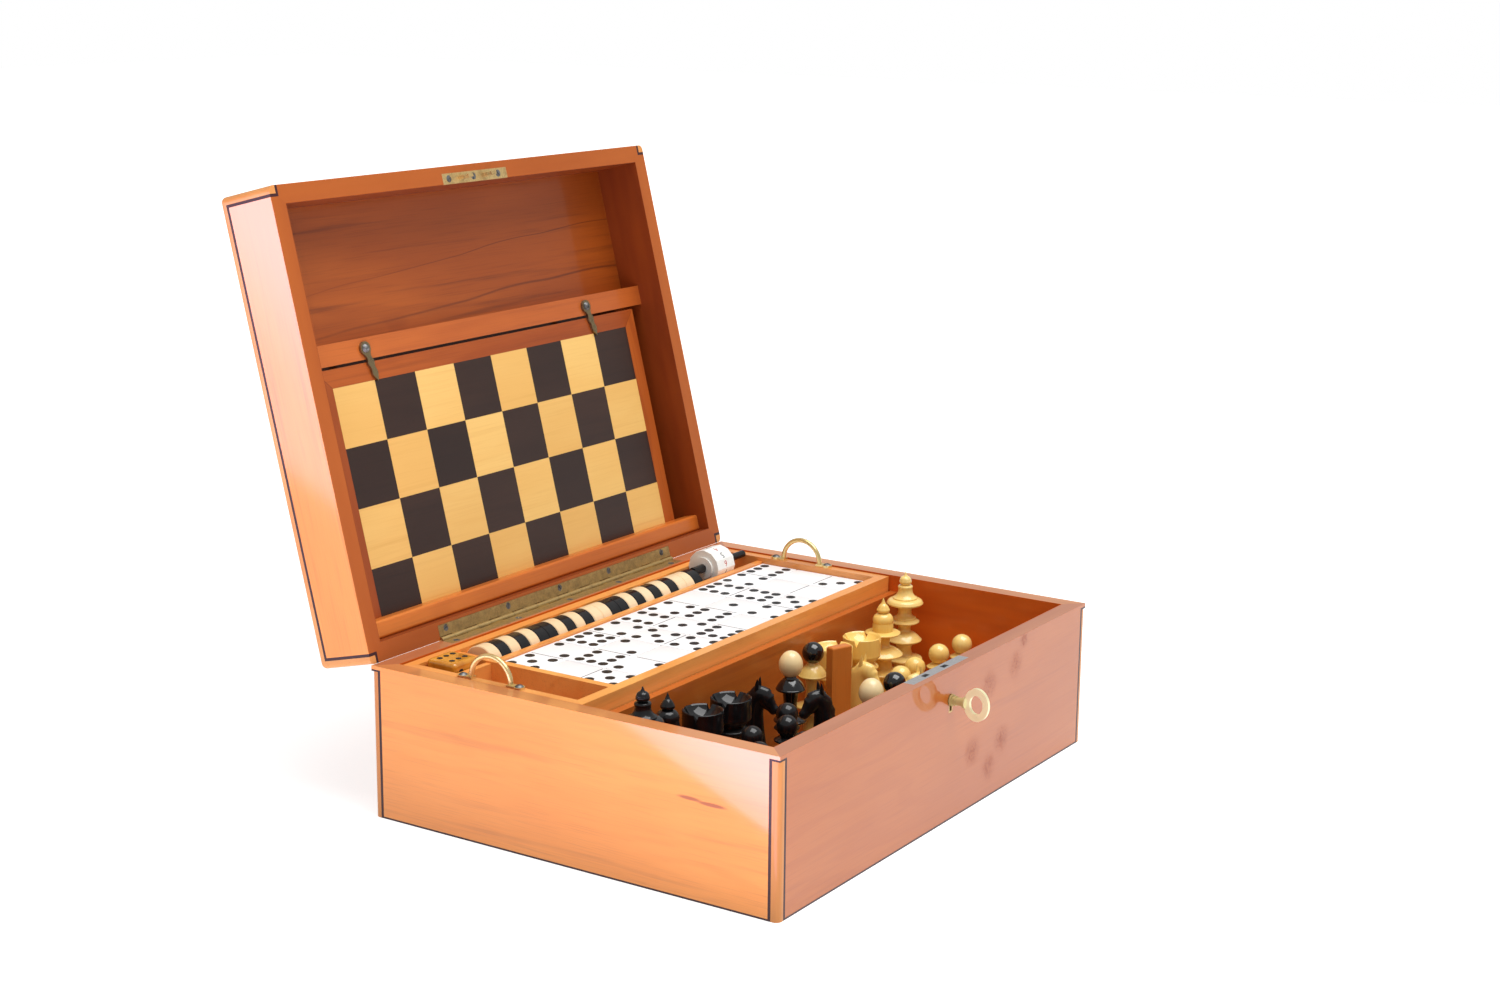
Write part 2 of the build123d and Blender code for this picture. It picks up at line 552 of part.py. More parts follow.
# ---------------------------------------------------------------- lid
with BuildPart() as lid_front_wall:
    x_wall(-1, LID, LID_RIM, LID_SHOULDER)
    corners(EDGE, LID_RIM, LID_SHOULDER, Mode.SUBTRACT, LID)
    block(LINK_X0, LINK_X1, LOCK_FRONT, LOCK_BACK, LID_RIM, LID_RIM + SELVEDGE,
          Mode.SUBTRACT, LID)

with BuildPart() as lid_back_wall:
    x_wall(1, LID, LID_RIM, LID_SHOULDER)
    corners(EDGE, LID_RIM, LID_SHOULDER, Mode.SUBTRACT, LID)
    leaf_seat(LID, LID_RIM, LID_RIM + LEAF)

with BuildPart() as lid_end_walls:
    for side in (-1, 1):
        y_wall(side, LID, LID_RIM, LID_SHOULDER)
    corners(EDGE, LID_RIM, LID_SHOULDER, Mode.SUBTRACT, LID)

with BuildPart() as lid_top_panel:
    block(-IN_X, IN_X, -IN_Y, IN_Y,
          LID_HEIGHT - PANEL, LID_SHOULDER, frame=LID)
    block(-HALF_X + EDGE, HALF_X - EDGE, -HALF_Y + EDGE, HALF_Y - EDGE,
          LID_SHOULDER, LID_HEIGHT, frame=LID)

with BuildPart() as lid_beads:
    with BuildSketch(LID.offset(LID_SHOULDER + STRING)) as ring:
        RectangleRounded(LENGTH, DEPTH, CORNER_RADIUS)
        Rectangle(LENGTH - 2 * BEAD, DEPTH - 2 * BEAD, mode=Mode.SUBTRACT)
    extrude(ring.sketch, amount=BEAD)
    crown = lid_beads.faces().sort_by(Axis(LID.origin, LID.z_dir))[-1]
    fillet(crown.outer_wire().edges(), CORNER_RADIUS - 0.4)
    corner_beads(LID_RIM, LID_SHOULDER + STRING, LID)

with BuildPart() as lid_stringing:
    with BuildSketch(LID.offset(LID_SHOULDER)) as ring:
        Rectangle(LENGTH, DEPTH)
        Rectangle(LENGTH - 2 * EDGE, DEPTH - 2 * EDGE, mode=Mode.SUBTRACT)
    extrude(ring.sketch, amount=STRING)
    with BuildSketch(LID.offset(LID_SHOULDER + STRING)) as ring:
        Rectangle(LENGTH - 2 * BEAD, DEPTH - 2 * BEAD)
        Rectangle(LENGTH - 2 * EDGE, DEPTH - 2 * EDGE, mode=Mode.SUBTRACT)
    extrude(ring.sketch, amount=BEAD)
    corners(EDGE, LID_RIM, LID_SHOULDER, Mode.ADD, LID)
    corners(BEAD, LID_RIM, LID_SHOULDER + STRING, Mode.SUBTRACT, LID)

PANEL_FACE = LID_HEIGHT - PANEL
with BuildPart() as board_batten:
    block(-IN_X, IN_X, HALF_Y - BATTEN_FAR, HALF_Y - BATTEN_NEAR,
          BOARD_FACE, PANEL_FACE, frame=LID)

with BuildPart() as board_ledge:
    block(-IN_X, IN_X, HALF_Y - LEDGE_FAR, HALF_Y - LEDGE_NEAR,
          LEDGE_FACE, BOARD_FACE - 0.2, frame=LID)
    outer = board_ledge.edges().filter_by(Axis.X).sort_by(
        Axis(LID.origin, LID.z_dir))[:2]
    fillet(outer, 1.6)
    block(-IN_X, IN_X, HALF_Y - LEDGE_SEAT, HALF_Y - LEDGE_NEAR,
          BOARD_FACE - 0.2, PANEL_FACE, frame=LID)


def turn_button(x, reach):
    """Pear-shaped brass button with a wavy tapering tail."""
    frame = spot(LID, x, HALF_Y - reach, BOARD_FACE - 0.1 - BUTTON_THICK, BUTTON_LEAN)
    side = ((2.4, 3.0), (1.7, 5.0), (2.5, 8.0), (1.6, 11.0), (2.1, 13.6), (1.2, 16.4))
    with BuildSketch(frame) as face:
        Circle(3.75)
        with BuildLine():
            Spline((0, 18.8), *[(w, s) for w, s in reversed(side)], (2.6, 0))
            Line((2.6, 0), (-2.6, 0))
            Spline((-2.6, 0), *[(-w, s) for w, s in side], (0, 18.8))
        make_face()
        Circle(1.2, mode=Mode.SUBTRACT)
    extrude(face.sketch, amount=BUTTON_THICK)


with BuildPart() as turn_button_left:
    turn_button(*BUTTONS[0])

with BuildPart() as turn_button_right:
    turn_button(*BUTTONS[1])

with BuildPart() as turn_button_screws:
    for index, (x, reach) in enumerate(BUTTONS):
        head = spot(LID, x, HALF_Y - reach, BOARD_FACE - 0.2 - BUTTON_THICK)
        screw(facing_out(head), 2.5, 0.01, 1.1, 9, dome=1.4, slot=20 + 40 * index)

with BuildPart() as lid_link_plate:
    block(LINK_X0, LINK_X1, LOCK_FRONT, LOCK_BACK, LID_RIM, LID_RIM + SELVEDGE, frame=LID)
    for x in HOOKS:
        limits = (LOCK_MIDDLE - HOOK_THICK / 2, LOCK_MIDDLE + HOOK_THICK / 2)
        block(x - HOOK_WIDTH / 2, x + HOOK_WIDTH / 2, *limits,
              LID_RIM - HOOK_DROP, LID_RIM, frame=LID)
        block(x - HOOK_WIDTH / 2, x + HOOK_WIDTH / 2 - 1.2, *limits,
              LID_RIM - HOOK_DROP + 1.2, LID_RIM - HOOK_DROP + 3.2, Mode.SUBTRACT, LID)
    for x in LINK_SCREWS:
        screw(facing_out(spot(LID, x, LOCK_MIDDLE, LID_RIM)), 2.0, SELVEDGE, 1.0, 9,
              mode=Mode.SUBTRACT)

with BuildPart() as link_plate_screws:
    for index, x in enumerate(LINK_SCREWS):
        screw(facing_out(spot(LID, x, LOCK_MIDDLE, LID_RIM)), 2.0, SELVEDGE, 1.0, 9,
              slot=30 + 45 * index)

# ---------------------------------------------------------------- board
LEAF_LEVELS = (BOARD_FACE, BOARD_FACE + BOARD_LEAF + LEAF_GAP)


def squares(parity, z0, z1, mode=Mode.ADD):
    """Every second square of one leaf."""
    for row in range(4):
        for column in range(8):
            if (row + column) % 2 == parity:
                x0 = GRID_X + column * SQUARE
                y0 = HALF_Y - GRID_TOP + row * SQUARE
                block(x0, x0 + SQUARE, y0, y0 + SQUARE, z0, z1, mode, LID)


with BuildPart() as board_leaves:
    for level in LEAF_LEVELS:
        with BuildSketch(LID.offset(level)) as face:
            with BuildLine():
                Polyline((BOARD_X0, HALF_Y - BOARD_FOLD), (BOARD_X1, HALF_Y - BOARD_FOLD),
                         (BOARD_X1, HALF_Y - BOARD_TOP), (BOARD_X0, HALF_Y - BOARD_TOP),
                         close=True)
            make_face()
            fillet(face.vertices().sort_by(
                Axis((0, 0, 0), tuple(LID.y_dir)))[:2], BOARD_CORNER)
        extrude(face.sketch, amount=BOARD_LEAF)
    GRID = (GRID_X, GRID_X + 8 * SQUARE, HALF_Y - GRID_TOP, HALF_Y - GRID_TOP + 4 * SQUARE)
    block(*GRID, BOARD_FACE, BOARD_FACE + INLAY, Mode.SUBTRACT, LID)
    block(*GRID, LEAF_LEVELS[1] + BOARD_LEAF - INLAY, LEAF_LEVELS[1] + BOARD_LEAF,
          Mode.SUBTRACT, LID)

INLAY_LEVELS = (BOARD_FACE, LEAF_LEVELS[1] + BOARD_LEAF - INLAY)

with BuildPart() as board_light_squares:
    squares(0, INLAY_LEVELS[0], INLAY_LEVELS[0] + INLAY)
    squares(1, INLAY_LEVELS[1], INLAY_LEVELS[1] + INLAY)

with BuildPart() as board_dark_squares:
    squares(1, INLAY_LEVELS[0], INLAY_LEVELS[0] + INLAY)
    squares(0, INLAY_LEVELS[1], INLAY_LEVELS[1] + INLAY)

# ---------------------------------------------------------------- tray
def tray_floor_block(mode):
    """Tray floor, let into rebates in the four walls."""
    block(-TRAY_IN_X - TRAY_FLOOR_REBATE, TRAY_IN_X + TRAY_FLOOR_REBATE,
          TRAY_IN_Y0 - TRAY_FLOOR_REBATE, TRAY_IN_Y1 + TRAY_FLOOR_REBATE,
          TRAY_BOTTOM, FLOOR_TOP, mode)


with BuildPart() as tray_long_walls:
    for y0, y1 in ((TRAY_Y0, TRAY_IN_Y0), (TRAY_Y1, TRAY_IN_Y1)):
        prism([(-TRAY_X, y0), (TRAY_X, y0), (TRAY_IN_X, y1), (-TRAY_IN_X, y1)],
              TRAY_BOTTOM, TRAY_TOP)
    tray_floor_block(Mode.SUBTRACT)

with BuildPart() as tray_end_walls:
    for side in (-1, 1):
        prism([(side * TRAY_X, TRAY_Y0), (side * TRAY_IN_X, TRAY_IN_Y0),
               (side * TRAY_IN_X, TRAY_IN_Y1), (side * TRAY_X, TRAY_Y1)],
              TRAY_BOTTOM, TRAY_TOP)
    tray_floor_block(Mode.SUBTRACT)

with BuildPart() as tray_floor:
    tray_floor_block(Mode.ADD)

with BuildPart() as tray_dividers:
    block(CROSS_X1, TRAY_IN_X, LONG_Y0, LONG_Y1, FLOOR_TOP, LONG_TOP)
    block(CROSS_X0, CROSS_X1, TRAY_IN_Y0, TRAY_IN_Y1, FLOOR_TOP, CROSS_TOP)
    block(-TRAY_IN_X, CROSS_X0, LONG_Y0, LONG_Y1, FLOOR_TOP, LONG_TOP)

with BuildPart() as tray_handles:
    arch_z = TRAY_TOP + 1.25
    for side in (-1, 1):
        x = side * HANDLE_X
        with BuildSketch(Plane(origin=(x, HANDLE_Y + HANDLE_RADIUS, arch_z))) as face:
            Circle(HANDLE_WIRE)
        revolve(face.sketch, axis=Axis((x, HANDLE_Y, arch_z), (1, 0, 0)), revolution_arc=180)
        for way in (-1, 1):
            leg = HANDLE_Y + way * HANDLE_RADIUS
            tip = HANDLE_Y + way * HANDLE_SCREW
            limits = sorted((leg - way * HANDLE_WIRE, tip))
            block(x - 2.2, x + 2.2, limits[0], limits[1], TRAY_TOP, TRAY_TOP + HANDLE_FOOT)
            disc(x, tip, TRAY_TOP, TRAY_TOP + HANDLE_FOOT, 2.9)
            disc(x, tip, TRAY_TOP, TRAY_TOP + HANDLE_FOOT, 1.0, Mode.SUBTRACT)

with BuildPart() as handle_screws:
    for side in (-1, 1):
        for way in (-1, 1):
            screw(spot(BODY, side * HANDLE_X, HANDLE_Y + way * HANDLE_SCREW,
                       TRAY_TOP + HANDLE_FOOT), 2.3, 0.01, 1.0, HANDLE_SCREW_LONG,
                  dome=1.1, slot=30 + 50 * side + 20 * way)

# ---------------------------------------------------------------- tray contents
with BuildPart() as dominoes:
    for layer in range(TILE_LAYERS):
        with BuildSketch(BODY.offset(FLOOR_TOP + layer * TILE_LEVEL)) as face:
            for column, row, flat in TILES:
                wide, deep = (2, 1) if flat else (1, 2)
                with Locations((TILE_X + (column + wide / 2) * TILE_PITCH,
                                TILE_Y - (row + deep / 2) * TILE_PITCH)):
                    RectangleRounded(TILE_LONG if flat else TILE_WIDE,
                                     TILE_WIDE if flat else TILE_LONG, 0.8)
        extrude(face.sketch, amount=TILE_THICK)

ROLL_Z = FLOOR_TOP + DRAUGHT_RADIUS + 0.1


def draughts(shade):
    """All the draughts of one shade in the roll."""
    for index, letter in enumerate(ROLL):
        if letter == shade:
            x = ROLL_X + index * DRAUGHT_PITCH
            edge = 0.5
            turned([(DRAUGHT_RADIUS - edge, 0), (DRAUGHT_RADIUS, edge),
                    (DRAUGHT_RADIUS, DRAUGHT_PITCH - DRAUGHT_GAP - edge),
                    (DRAUGHT_RADIUS - edge, DRAUGHT_PITCH - DRAUGHT_GAP)],
                   Plane(origin=(x, ROLL_Y, ROLL_Z), x_dir=(0, 1, 0), z_dir=(1, 0, 0)))


with BuildPart() as draughts_light:
    draughts("L")

with BuildPart() as draughts_dark:
    draughts("D")

with BuildPart() as die:
    block(DIE_X - DIE / 2, DIE_X + DIE / 2, DIE_Y - DIE / 2, DIE_Y + DIE / 2,
          FLOOR_TOP, FLOOR_TOP + DIE)
    fillet(die.edges(), 2.2)

with BuildPart() as spinner_body:
    with BuildSketch(Plane(origin=(SPINNER_X0, SPINNER_Y, SPINNER_Z), x_dir=(0, 1, 0),
                           z_dir=(1, 0, 0))) as face:
        RegularPolygon(SPINNER_RADIUS, 12)
    extrude(face.sketch, amount=SPINNER_X1 - SPINNER_X0)
    along_x(SPINNER_X0 - SPINNER_BOSS, SPINNER_X0, SPINNER_Y, SPINNER_Z, 6.5)
    along_x(SPINNER_X0 - SPINNER_BOSS, SPINNER_X1, SPINNER_Y, SPINNER_Z, SPINDLE + 0.01,
            Mode.SUBTRACT)

with BuildPart() as spinner_spindle:
    along_x(SPINDLE_X0, SPINNER_X0 - SPINNER_BOSS, SPINNER_Y, SPINNER_Z, SPINDLE_HEAD)
    along_x(SPINNER_X0 - SPINNER_BOSS, SPINDLE_X1, SPINNER_Y, SPINNER_Z, SPINDLE)

# ---------------------------------------------------------------- chess bay
def in_bay(x, y, turn=0.0):
    """Plane on the bay floor at a place drawn from the bay wall."""
    return spot(BODY, x * SPREAD_X, BAY_WALL_Y0 + y * SPREAD_Y, BASE, turn)


with BuildPart() as chess_slat:
    slat = in_bay(*SLAT_AT, SLAT_TURN)
    block(-SLAT_WIDE / 2, SLAT_WIDE / 2, -SLAT_THICK / 2, SLAT_THICK / 2,
          0, SLAT_TOP - BASE, frame=slat)
    fillet(chess_slat.edges().group_by(Axis.Z)[-1], 1.2)

KING = [(12.3, 0), (12.3, 3.5), (11.4, 5, 0.3), (10.2, 9), (6.2, 19, -1.2), (5.0, 27, -0.3),
        (6.4, 29.5), (9.8, 32, -0.4), (9.8, 34, 1.0), (5.4, 35.6), (4.4, 40, -0.4),
        (5.2, 42), (9.3, 43.8, -0.2), (9.6, 45.2, 0.7), (4.6, 49.4, 0.4), (3.6, 51.5, -0.3),
        (4.2, 53.6), (8.0, 54.9), (8.25, 56.0, 0.5), (6.3, 57.0), (6.2, 58.0, 0.3),
        (3.9, 60.4, -0.4), (5.0, 64.6, -0.4), (9.4, 65.6), (10.3, 67.2, 0.7), (8.6, 68.8, 0.3),
        (7.0, 69.1), (6.6, 70.0, 0.3), (4.1, 75.2, -0.8), (3.9, 76.8, 0.3), (2.2, 77.3),
        (3.35, 80.0, 0.7), (1.4, 82.3, 0.5), (0.5, 84.2, -0.15), (0.0, 85.0)]
QUEEN = [(11.8, 0), (11.8, 3.5), (11.0, 5, 0.3), (9.8, 8.5), (6.0, 18, -1.1), (5.0, 25, -0.3),
         (6.5, 27.5), (10.2, 30, -0.4), (10.4, 31.8, 0.8), (6.2, 33.6), (5.6, 38.6, -0.3),
         (6.4, 40.2), (11.0, 41.2), (11.3, 42.6, 0.6), (4.8, 46.4, 0.5), (4.1, 49.4, -0.3),
         (4.8, 52.4), (9.4, 53.7), (9.9, 54.9, 0.5), (5.9, 55.6), (5.75, 60.5, 0.2),
         (2.2, 66.2, 1.6), (3.4, 68.8, 0.9), (1.4, 71.6, 0.2), (0.5, 74.0, -0.1),
         (0.0, 75.0)]
BISHOP = [(11.0, 0), (11.0, 3.2), (10.2, 4.6, 0.3), (9.0, 8), (5.2, 18, -1.0), (4.2, 26, -0.3),
          (5.2, 28), (8.2, 30), (8.2, 31.6, 0.8), (4.6, 33.4), (3.7, 41, -0.4), (4.3, 46.6),
          (7.4, 47.6), (7.7, 49.0, 0.5), (3.6, 54.2, 0.4)]
BALL_BISHOP = BISHOP + ball(2.9, 61.0, 6.05)
EGG_BISHOP = BISHOP + [(2.9, 55.3), (6.5, 60.9, 0.8), (4.7, 66.9, 0.62),
                       (0.0, 69.4, cap(4.7, 2.5))]
ROOK = [(11.3, 0), (11.3, 3.2), (10.5, 4.6, 0.3), (9.2, 8), (6.2, 20, -1.2), (5.4, 34, -0.3),
        (6.4, 37.5), (9.0, 39.5), (9.4, 41.4, 0.7), (7.4, 43.0), (7.4, 44.0),
        (9.6, 45.6, 0.4), (10.8, 48.6, 0.5), (10.8, 57.4), (10.3, 58.0, 0.15),
        (9.6, 57.4), (0.0, 52.0, -cap(9.6, 5.4))]
PAWN = [(9.2, 0), (9.2, 2.8), (8.5, 4.2, 0.3), (7.4, 7), (4.4, 15, -0.9), (3.3, 30, -0.5),
        (3.8, 36.2), (6.2, 37.4), (6.4, 38.6, 0.5), (3.4, 40.4)] + ball(2.8, 45.5, 5.85)
KNIGHT_BASE = [(11.0, 0), (11.0, 3.2), (10.2, 4.6, 0.3), (9.0, 8), (7.4, 12, -0.5),
               (8.6, 14.6), (8.4, 16.4, 0.6)]
KNIGHT_HEAD = [(-6.6, 15.0), (-7.8, 24.8), (-7.6, 34.6), (-5.8, 44.4), (-3.2, 52.1),
               (-1.2, 55.7), (0.2, 59.9), (1.8, 55.8), (4.2, 52.7), (7.4, 47.3),
               (10.9, 40.9), (12.2, 37.5), (11.6, 34.8), (9.2, 34.0), (6.4, 36.4),
               (3.6, 35.7), (2.6, 31.4), (4.8, 24.8), (6.6, 18.3), (6.8, 15.0)]


def sized(points):
    """Profile steps at the men's size."""
    return [tuple(MAN * value for value in point) for point in points]


def stand(profile, places):
    """Turned pieces standing on the bay floor."""
    for place in places:
        turned(sized(profile), in_bay(*place[:2]))


def rooks(places):
    """Rooks with a dished top and four V notches."""
    stand(ROOK, places)
    for place in places:
        for turn in (15, 105):
            with BuildSketch(upright(in_bay(*place, turn))) as notch:
                with BuildLine():
                    Polyline(*sized([(-1.7, 58.5), (1.7, 58.5), (0, 54.0)]), close=True)
                make_face()
            extrude(notch.sketch, amount=12 * MAN, both=True, mode=Mode.SUBTRACT)


def knights(places):
    """Turned foot under a flat horse head."""
    stand(KNIGHT_BASE, places)
    for place in places:
        with BuildSketch(upright(in_bay(*place))) as head:
            with BuildLine():
                Polyline(*sized(KNIGHT_HEAD), close=True)
            make_face()
        extrude(head.sketch, amount=4.2 * MAN, both=True)


with BuildPart() as white_king:
    stand(KING, LIGHT_AT["king"])

with BuildPart() as white_queen:
    stand(QUEEN, LIGHT_AT["queen"])

with BuildPart() as white_bishops:
    stand(BALL_BISHOP, LIGHT_AT["bishops"])

with BuildPart() as white_knights:
    knights(LIGHT_AT["knights"])

with BuildPart() as white_rooks:
    rooks(LIGHT_AT["rooks"])

with BuildPart() as white_pawns:
    stand(PAWN, LIGHT_AT["pawns"])

with BuildPart() as black_king:
    stand(KING, DARK_AT["king"])

with BuildPart() as black_queen:
    stand(QUEEN, DARK_AT["queen"])

with BuildPart() as black_bishops:
    stand(EGG_BISHOP, DARK_AT["bishops"])

with BuildPart() as black_knights:
    knights(DARK_AT["knights"])

with BuildPart() as black_rooks:
    rooks(DARK_AT["rooks"])

with BuildPart() as black_pawns:
    stand(PAWN, DARK_AT["pawns"])

# ---------------------------------------------------------------- export
NODES = {
    "box_front_wall": box_front_wall, "box_back_wall": box_back_wall,
    "box_end_walls": box_end_walls, "box_bottom": box_bottom,
    "box_corner_beads": box_corner_beads, "box_stringing": box_stringing,
    "compartment_wall": compartment_wall, "tray_runners": tray_runners,
    "hinge_box_leaf": hinge_box_leaf, "hinge_lid_leaf": hinge_lid_leaf,
    "hinge_pin": hinge_pin, "hinge_box_screws": hinge_box_screws,
    "hinge_lid_screws": hinge_lid_screws,
    "lock_case": lock_case, "lock_cover_plate": lock_cover_plate,
    "lock_bolt": lock_bolt, "lock_screws": lock_screws,
    "keyhole_liner": keyhole_liner, "key": key,
    "lid_front_wall": lid_front_wall, "lid_back_wall": lid_back_wall,
    "lid_end_walls": lid_end_walls, "lid_top_panel": lid_top_panel,
    "lid_beads": lid_beads, "lid_stringing": lid_stringing,
    "board_batten": board_batten, "board_ledge": board_ledge,
    "turn_button_left": turn_button_left, "turn_button_right": turn_button_right,
    "turn_button_screws": turn_button_screws,
    "lid_link_plate": lid_link_plate, "link_plate_screws": link_plate_screws,
    "board_leaves": board_leaves, "board_light_squares": board_light_squares,
    "board_dark_squares": board_dark_squares,
    "tray_long_walls": tray_long_walls, "tray_end_walls": tray_end_walls,
    "tray_floor": tray_floor, "tray_dividers": tray_dividers,
    "tray_handles": tray_handles, "handle_screws": handle_screws,
    "dominoes": dominoes, "draughts_light": draughts_light,
    "draughts_dark": draughts_dark, "die": die,
    "spinner_body": spinner_body, "spinner_spindle": spinner_spindle,
    "chess_slat": chess_slat,
    "white_king": white_king, "white_queen": white_queen, "white_bishops": white_bishops,
    "white_knights": white_knights, "white_rooks": white_rooks, "white_pawns": white_pawns,
    "black_king": black_king, "black_queen": black_queen, "black_bishops": black_bishops,
    "black_knights": black_knights, "black_rooks": black_rooks, "black_pawns": black_pawns,
}
for name, node in NODES.items():
    node.part.label = name
    export_step(node.part, f"parts/{name}.step")
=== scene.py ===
"""Looks of a games compendium box: woods, brass, playing pieces, light and camera.

Metres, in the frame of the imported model: X along the hinge, the lock faces -Y, +Z up.
"""
import json
import logging
import math
from dataclasses import dataclass
from enum import Enum
from typing import Any, Optional, Protocol, Sequence

import bpy
import numpy as np
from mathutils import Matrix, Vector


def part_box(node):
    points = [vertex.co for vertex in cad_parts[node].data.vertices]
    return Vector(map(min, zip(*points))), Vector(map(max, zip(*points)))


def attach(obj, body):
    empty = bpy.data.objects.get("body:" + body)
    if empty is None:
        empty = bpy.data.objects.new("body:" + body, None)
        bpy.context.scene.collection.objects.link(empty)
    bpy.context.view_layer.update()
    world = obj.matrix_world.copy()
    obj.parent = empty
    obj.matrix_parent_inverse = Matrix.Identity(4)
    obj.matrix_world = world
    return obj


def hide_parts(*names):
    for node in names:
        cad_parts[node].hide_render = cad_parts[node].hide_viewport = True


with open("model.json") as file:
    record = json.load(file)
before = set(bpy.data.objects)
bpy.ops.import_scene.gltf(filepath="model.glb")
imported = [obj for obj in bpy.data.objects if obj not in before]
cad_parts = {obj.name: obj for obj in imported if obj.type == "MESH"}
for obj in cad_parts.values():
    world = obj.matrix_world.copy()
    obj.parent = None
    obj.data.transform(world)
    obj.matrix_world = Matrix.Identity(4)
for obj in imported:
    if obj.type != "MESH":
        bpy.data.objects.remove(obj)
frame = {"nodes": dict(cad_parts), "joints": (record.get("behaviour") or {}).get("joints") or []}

logging.basicConfig(level=logging.INFO, format="%(message)s")
LOG = logging.getLogger("games_box")

Colour = tuple[float, float, float]
Point = tuple[float, float, float]
Pair = tuple[float, float]
Mesh = tuple[np.ndarray, list[list[int]]]


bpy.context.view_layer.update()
MM = 0.001
HAIR = 0.03 * MM
QUARTER = math.pi / 2


class Axis(Enum):
    """Direction that the grain of a wooden part runs in."""

    X = 0
    Y = 1
    Z = 2


class Side(Enum):
    """A side of the chess set, whose value is a word for its pieces' finish."""

    WHITE = "boxwood"
    BLACK = "ebonised"

    @property
    def word(self) -> str:
        """The side's name as its nodes and bodies spell it."""
        return self.name.lower()


# ------------------------------------------------------------------ case sizes
CASE_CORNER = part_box("box_end_walls")[1]
HALF_X = CASE_CORNER.x
HALF_Y = CASE_CORNER.y
WALL = HALF_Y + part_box("box_front_wall")[1].y
HINGE = next(joint for joint in frame["joints"] if joint["name"] == "lid_hinge")
HINGE_POINT: Point = tuple(HINGE["pos_m"])
LID_OPEN = math.radians(-HINGE["range_deg"][0])


# ------------------------------------------------------------------ shader tools
class Tone:
    """A shader value that adds, multiplies and compares like a number."""

    def __init__(self, graph: "Graph", socket: bpy.types.NodeSocket) -> None:
        """Keep the socket and the graph it belongs to."""
        self.graph = graph
        self.socket = socket

    def _pair(self, operation: str, other: Any, flip: bool = False) -> "Tone":
        """One Math node on this value and another."""
        pair = (other, self) if flip else (self, other)
        return self.graph.math(operation, *pair)

    def __add__(self, other: Any) -> "Tone":
        """Sum."""
        return self._pair("ADD", other)

    __radd__ = __add__

    def __sub__(self, other: Any) -> "Tone":
        """Difference."""
        return self._pair("SUBTRACT", other)

    def __rsub__(self, other: Any) -> "Tone":
        """Difference with this value taken away."""
        return self._pair("SUBTRACT", other, flip=True)

    def __mul__(self, other: Any) -> "Tone":
        """Product."""
        return self._pair("MULTIPLY", other)

    __rmul__ = __mul__

    def __truediv__(self, other: Any) -> "Tone":
        """Quotient."""
        return self._pair("DIVIDE", other)

    def __gt__(self, other: Any) -> "Tone":
        """One where this value is the greater."""
        return self._pair("GREATER_THAN", other)

    def __lt__(self, other: Any) -> "Tone":
        """One where this value is the smaller."""
        return self._pair("LESS_THAN", other)

    def __abs__(self) -> "Tone":
        """Size without its sign."""
        return self.graph.math("ABSOLUTE", self)


